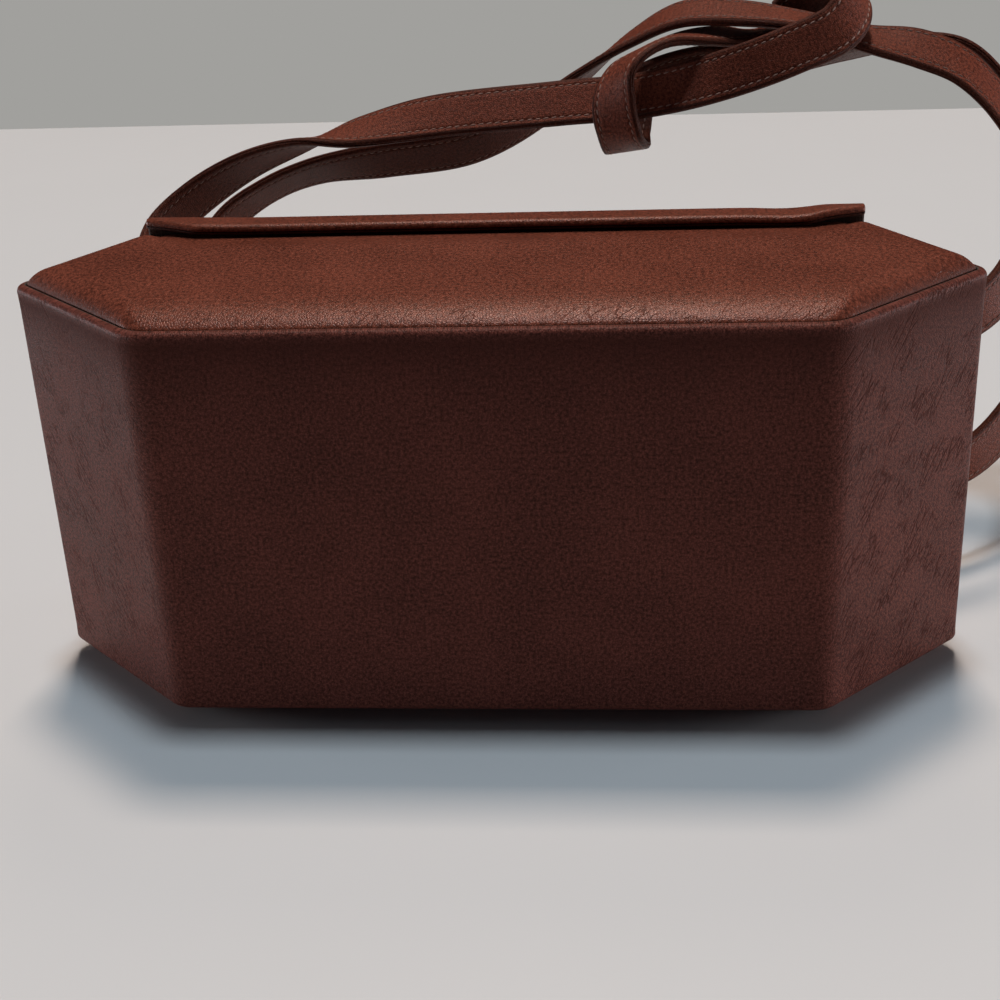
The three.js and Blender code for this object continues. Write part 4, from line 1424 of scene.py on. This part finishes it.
class VANITY_OT_stitches(bpy.types.Operator):
    """Sews the rows of stitches along both faces of the straps"""

    bl_idname = "vanity_case.stitches"
    bl_label = "Strap stitches"

    def execute(self, context):
        scene = context.scene
        detail = scene.vanity_detail
        material = thread("polyester thread", scene.vanity_leather.thread_colour)
        runs = (
            (strap_rows(HIGH_ANCHOR_Z, STRAP_ONE, LOW_ANCHOR_Z), STRAP_ONE_TONES),
            (strap_rows(LOW_ANCHOR_Z, STRAP_TWO, HIGH_ANCHOR_Z), STRAP_TWO_TONES),
        )
        lines = stitch_lines("strap_stitch_lines", runs)
        tree = stitch_tree(material)
        sewing = lines.modifiers.new("stitches", "NODES")
        sewing.node_group = tree
        sizes = {
            "Stitch pitch": detail.stitch_pitch, "Stitch length": detail.stitch_length,
            "Thread width": detail.thread_width}
        for item in tree.interface.items_tree:
            if item.in_out == "INPUT" and item.name in sizes:
                sewing[item.identifier] = sizes[item.name]
        context.view_layer.update()
        evaluated = lines.evaluated_get(context.evaluated_depsgraph_get())
        mesh = bpy.data.meshes.new_from_object(evaluated)
        if not mesh.polygons:
            raise RuntimeError("the stitch tree made no stitches")
        lines.modifiers.remove(sewing)
        bpy.data.objects.remove(lines)
        stitches = bpy.data.objects.new("strap_stitches", mesh)
        scene.collection.objects.link(stitches)
        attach(stitches, "case")
        return {"FINISHED"}


def area_light(name, kind, watts, gloss=1.0):
    """A soft light of that kind, turned to the case; gloss is its share of highlights."""
    place, size, colour = kind
    data = bpy.data.lights.new(name, "AREA")
    data.shape = "RECTANGLE"
    data.size, data.size_y = size
    data.energy = watts
    data.color = linear(colour)[:3]
    data.specular_factor = gloss
    lamp = bpy.data.objects.new(name, data)
    lamp.location = place
    aim = Vector((0, 0, LIGHT_AIM)) - Vector(place)
    lamp.rotation_euler = aim.to_track_quat("-Z", "Y").to_euler()
    bpy.context.scene.collection.objects.link(lamp)
    return lamp


def room(colour):
    """A dim room that throws hardly any light, with a plain backdrop for the camera."""
    world = bpy.data.worlds.new("room")
    bpy.context.scene.world = world
    world.use_nodes = True
    tree = world.node_tree
    tree.nodes.clear()
    dim = add(tree, "ShaderNodeBackground", {"Color": linear(ROOM_GLOW), "Strength": ROOM_STRENGTH})
    plain = add(tree, "ShaderNodeBackground", {"Color": tuple(colour), "Strength": 1.0})
    seen = add(tree, "ShaderNodeLightPath").outputs["Is Camera Ray"]
    both = add(tree, "ShaderNodeMixShader", {0: seen, 1: dim.outputs[0], 2: plain.outputs[0]})
    add(tree, "ShaderNodeOutputWorld", {"Surface": both.outputs[0]})


def stage_mesh(name, points, faces, material):
    """A stage object from points in metres."""
    mesh = bpy.data.meshes.new(name)
    mesh.from_pydata(points, [], faces)
    mesh.materials.append(material)
    piece = bpy.data.objects.new(name, mesh)
    bpy.context.scene.collection.objects.link(piece)
    return piece


def table_mesh(material):
    """The table top, its back edge a little aslant to the case and rounded."""
    back = TABLE_BACK_Y - TABLE_EDGE_ROUND
    rows = [(TABLE_FRONT_Y, -TABLE_THICKNESS), (TABLE_FRONT_Y, 0.0)]
    for angle in np.linspace(math.pi / 2, 0, TABLE_ROUND_STEPS + 1):
        rows.append((back + TABLE_EDGE_ROUND * math.cos(angle), TABLE_EDGE_ROUND * (math.sin(angle) - 1)))
    rows.append((TABLE_BACK_Y, -TABLE_THICKNESS))
    points = []
    for x in (-TABLE_REACH, TABLE_REACH):
        for y, z in rows:
            points.append((x, y + (TABLE_SLANT * x if y > 0 else 0.0), z))
    count = len(rows)
    faces = [(k, k + count, (k + 1) % count + count, (k + 1) % count) for k in range(count)]
    faces += [tuple(range(count)), tuple(reversed(range(count, 2 * count)))]
    table = stage_mesh("table", points, faces, material)
    table.data.shade_smooth()
    table.data.set_sharp_from_angle(angle=math.radians(TABLE_SHARP_DEG))


class VANITY_OT_stage(bpy.types.Operator):
    """Sets the table, soft lights and camera"""

    bl_idname = "vanity_case.stage"
    bl_label = "Stage"

    def execute(self, context):
        scene = context.scene
        look = scene.vanity_stage
        table_mesh(laminate("table laminate", look.table_colour))
        area_light("warm_lamp", WARM_LAMP, look.warm_lamp)
        area_light("cool_lamp", COOL_LAMP, look.cool_lamp)
        area_light("back_light", BACK_LIGHT, look.back_light)
        area_light("left_light", LEFT_LIGHT, look.left_light, SIDE_GLOSS)
        area_light("right_light", RIGHT_LIGHT, look.right_light, SIDE_GLOSS)
        area_light("front_light", FRONT_LIGHT, look.front_light)
        room(look.backdrop_colour)
        data = bpy.data.cameras.new("camera")
        data.sensor_width = CAMERA_SENSOR
        data.lens = CAMERA_LENS
        data.clip_end = CAMERA_REACH
        camera = bpy.data.objects.new("camera", data)
        camera.location = CAMERA_PLACE
        camera.rotation_euler = [math.radians(turn) for turn in CAMERA_TURN_DEG]
        scene.collection.objects.link(camera)
        scene.camera = camera
        scene.view_settings.view_transform = "Standard"
        return {"FINISHED"}


class VANITY_PT_builder(bpy.types.Panel):
    """Lists the case's pieces and settings"""

    bl_idname = "VANITY_PT_builder"
    bl_label = "Vanity case"
    bl_space_type = "VIEW_3D"
    bl_region_type = "UI"
    bl_category = "Vanity case"

    def draw(self, context):
        for group in SETTINGS:
            settings = getattr(context.scene, group)
            box = self.layout.box()
            for key in settings.bl_rna.properties.keys():
                if key not in ("rna_type", "name"):
                    box.prop(settings, key)
        for piece in PIECES:
            self.layout.operator(piece.bl_idname)


PIECES = (
    VANITY_OT_stage, VANITY_OT_side_band, VANITY_OT_panels, VANITY_OT_lid, VANITY_OT_hinge, VANITY_OT_straps,
    VANITY_OT_stitches)
SETTINGS = {"vanity_leather": LeatherSettings, "vanity_detail": DetailSettings, "vanity_stage": StageSettings}


def register():
    """Registers the settings, the operators and the panel."""
    for key, kind in SETTINGS.items():
        bpy.utils.register_class(kind)
        setattr(bpy.types.Scene, key, bpy.props.PointerProperty(type=kind))
    for kind in PIECES + (VANITY_PT_builder,):
        bpy.utils.register_class(kind)


def unregister():
    """Takes the panel, the operators and the settings away again."""
    for kind in (VANITY_PT_builder,) + PIECES[::-1]:
        bpy.utils.unregister_class(kind)
    for key, kind in SETTINGS.items():
        delattr(bpy.types.Scene, key)
        bpy.utils.unregister_class(kind)


def main():
    """Builds every piece in order."""
    register()
    make = bpy.ops.vanity_case
    make.stage()
    make.side_band()
    make.panels()
    make.lid()
    make.hinge()
    make.straps()
    make.stitches()


if __name__ == "__main__":
    main()
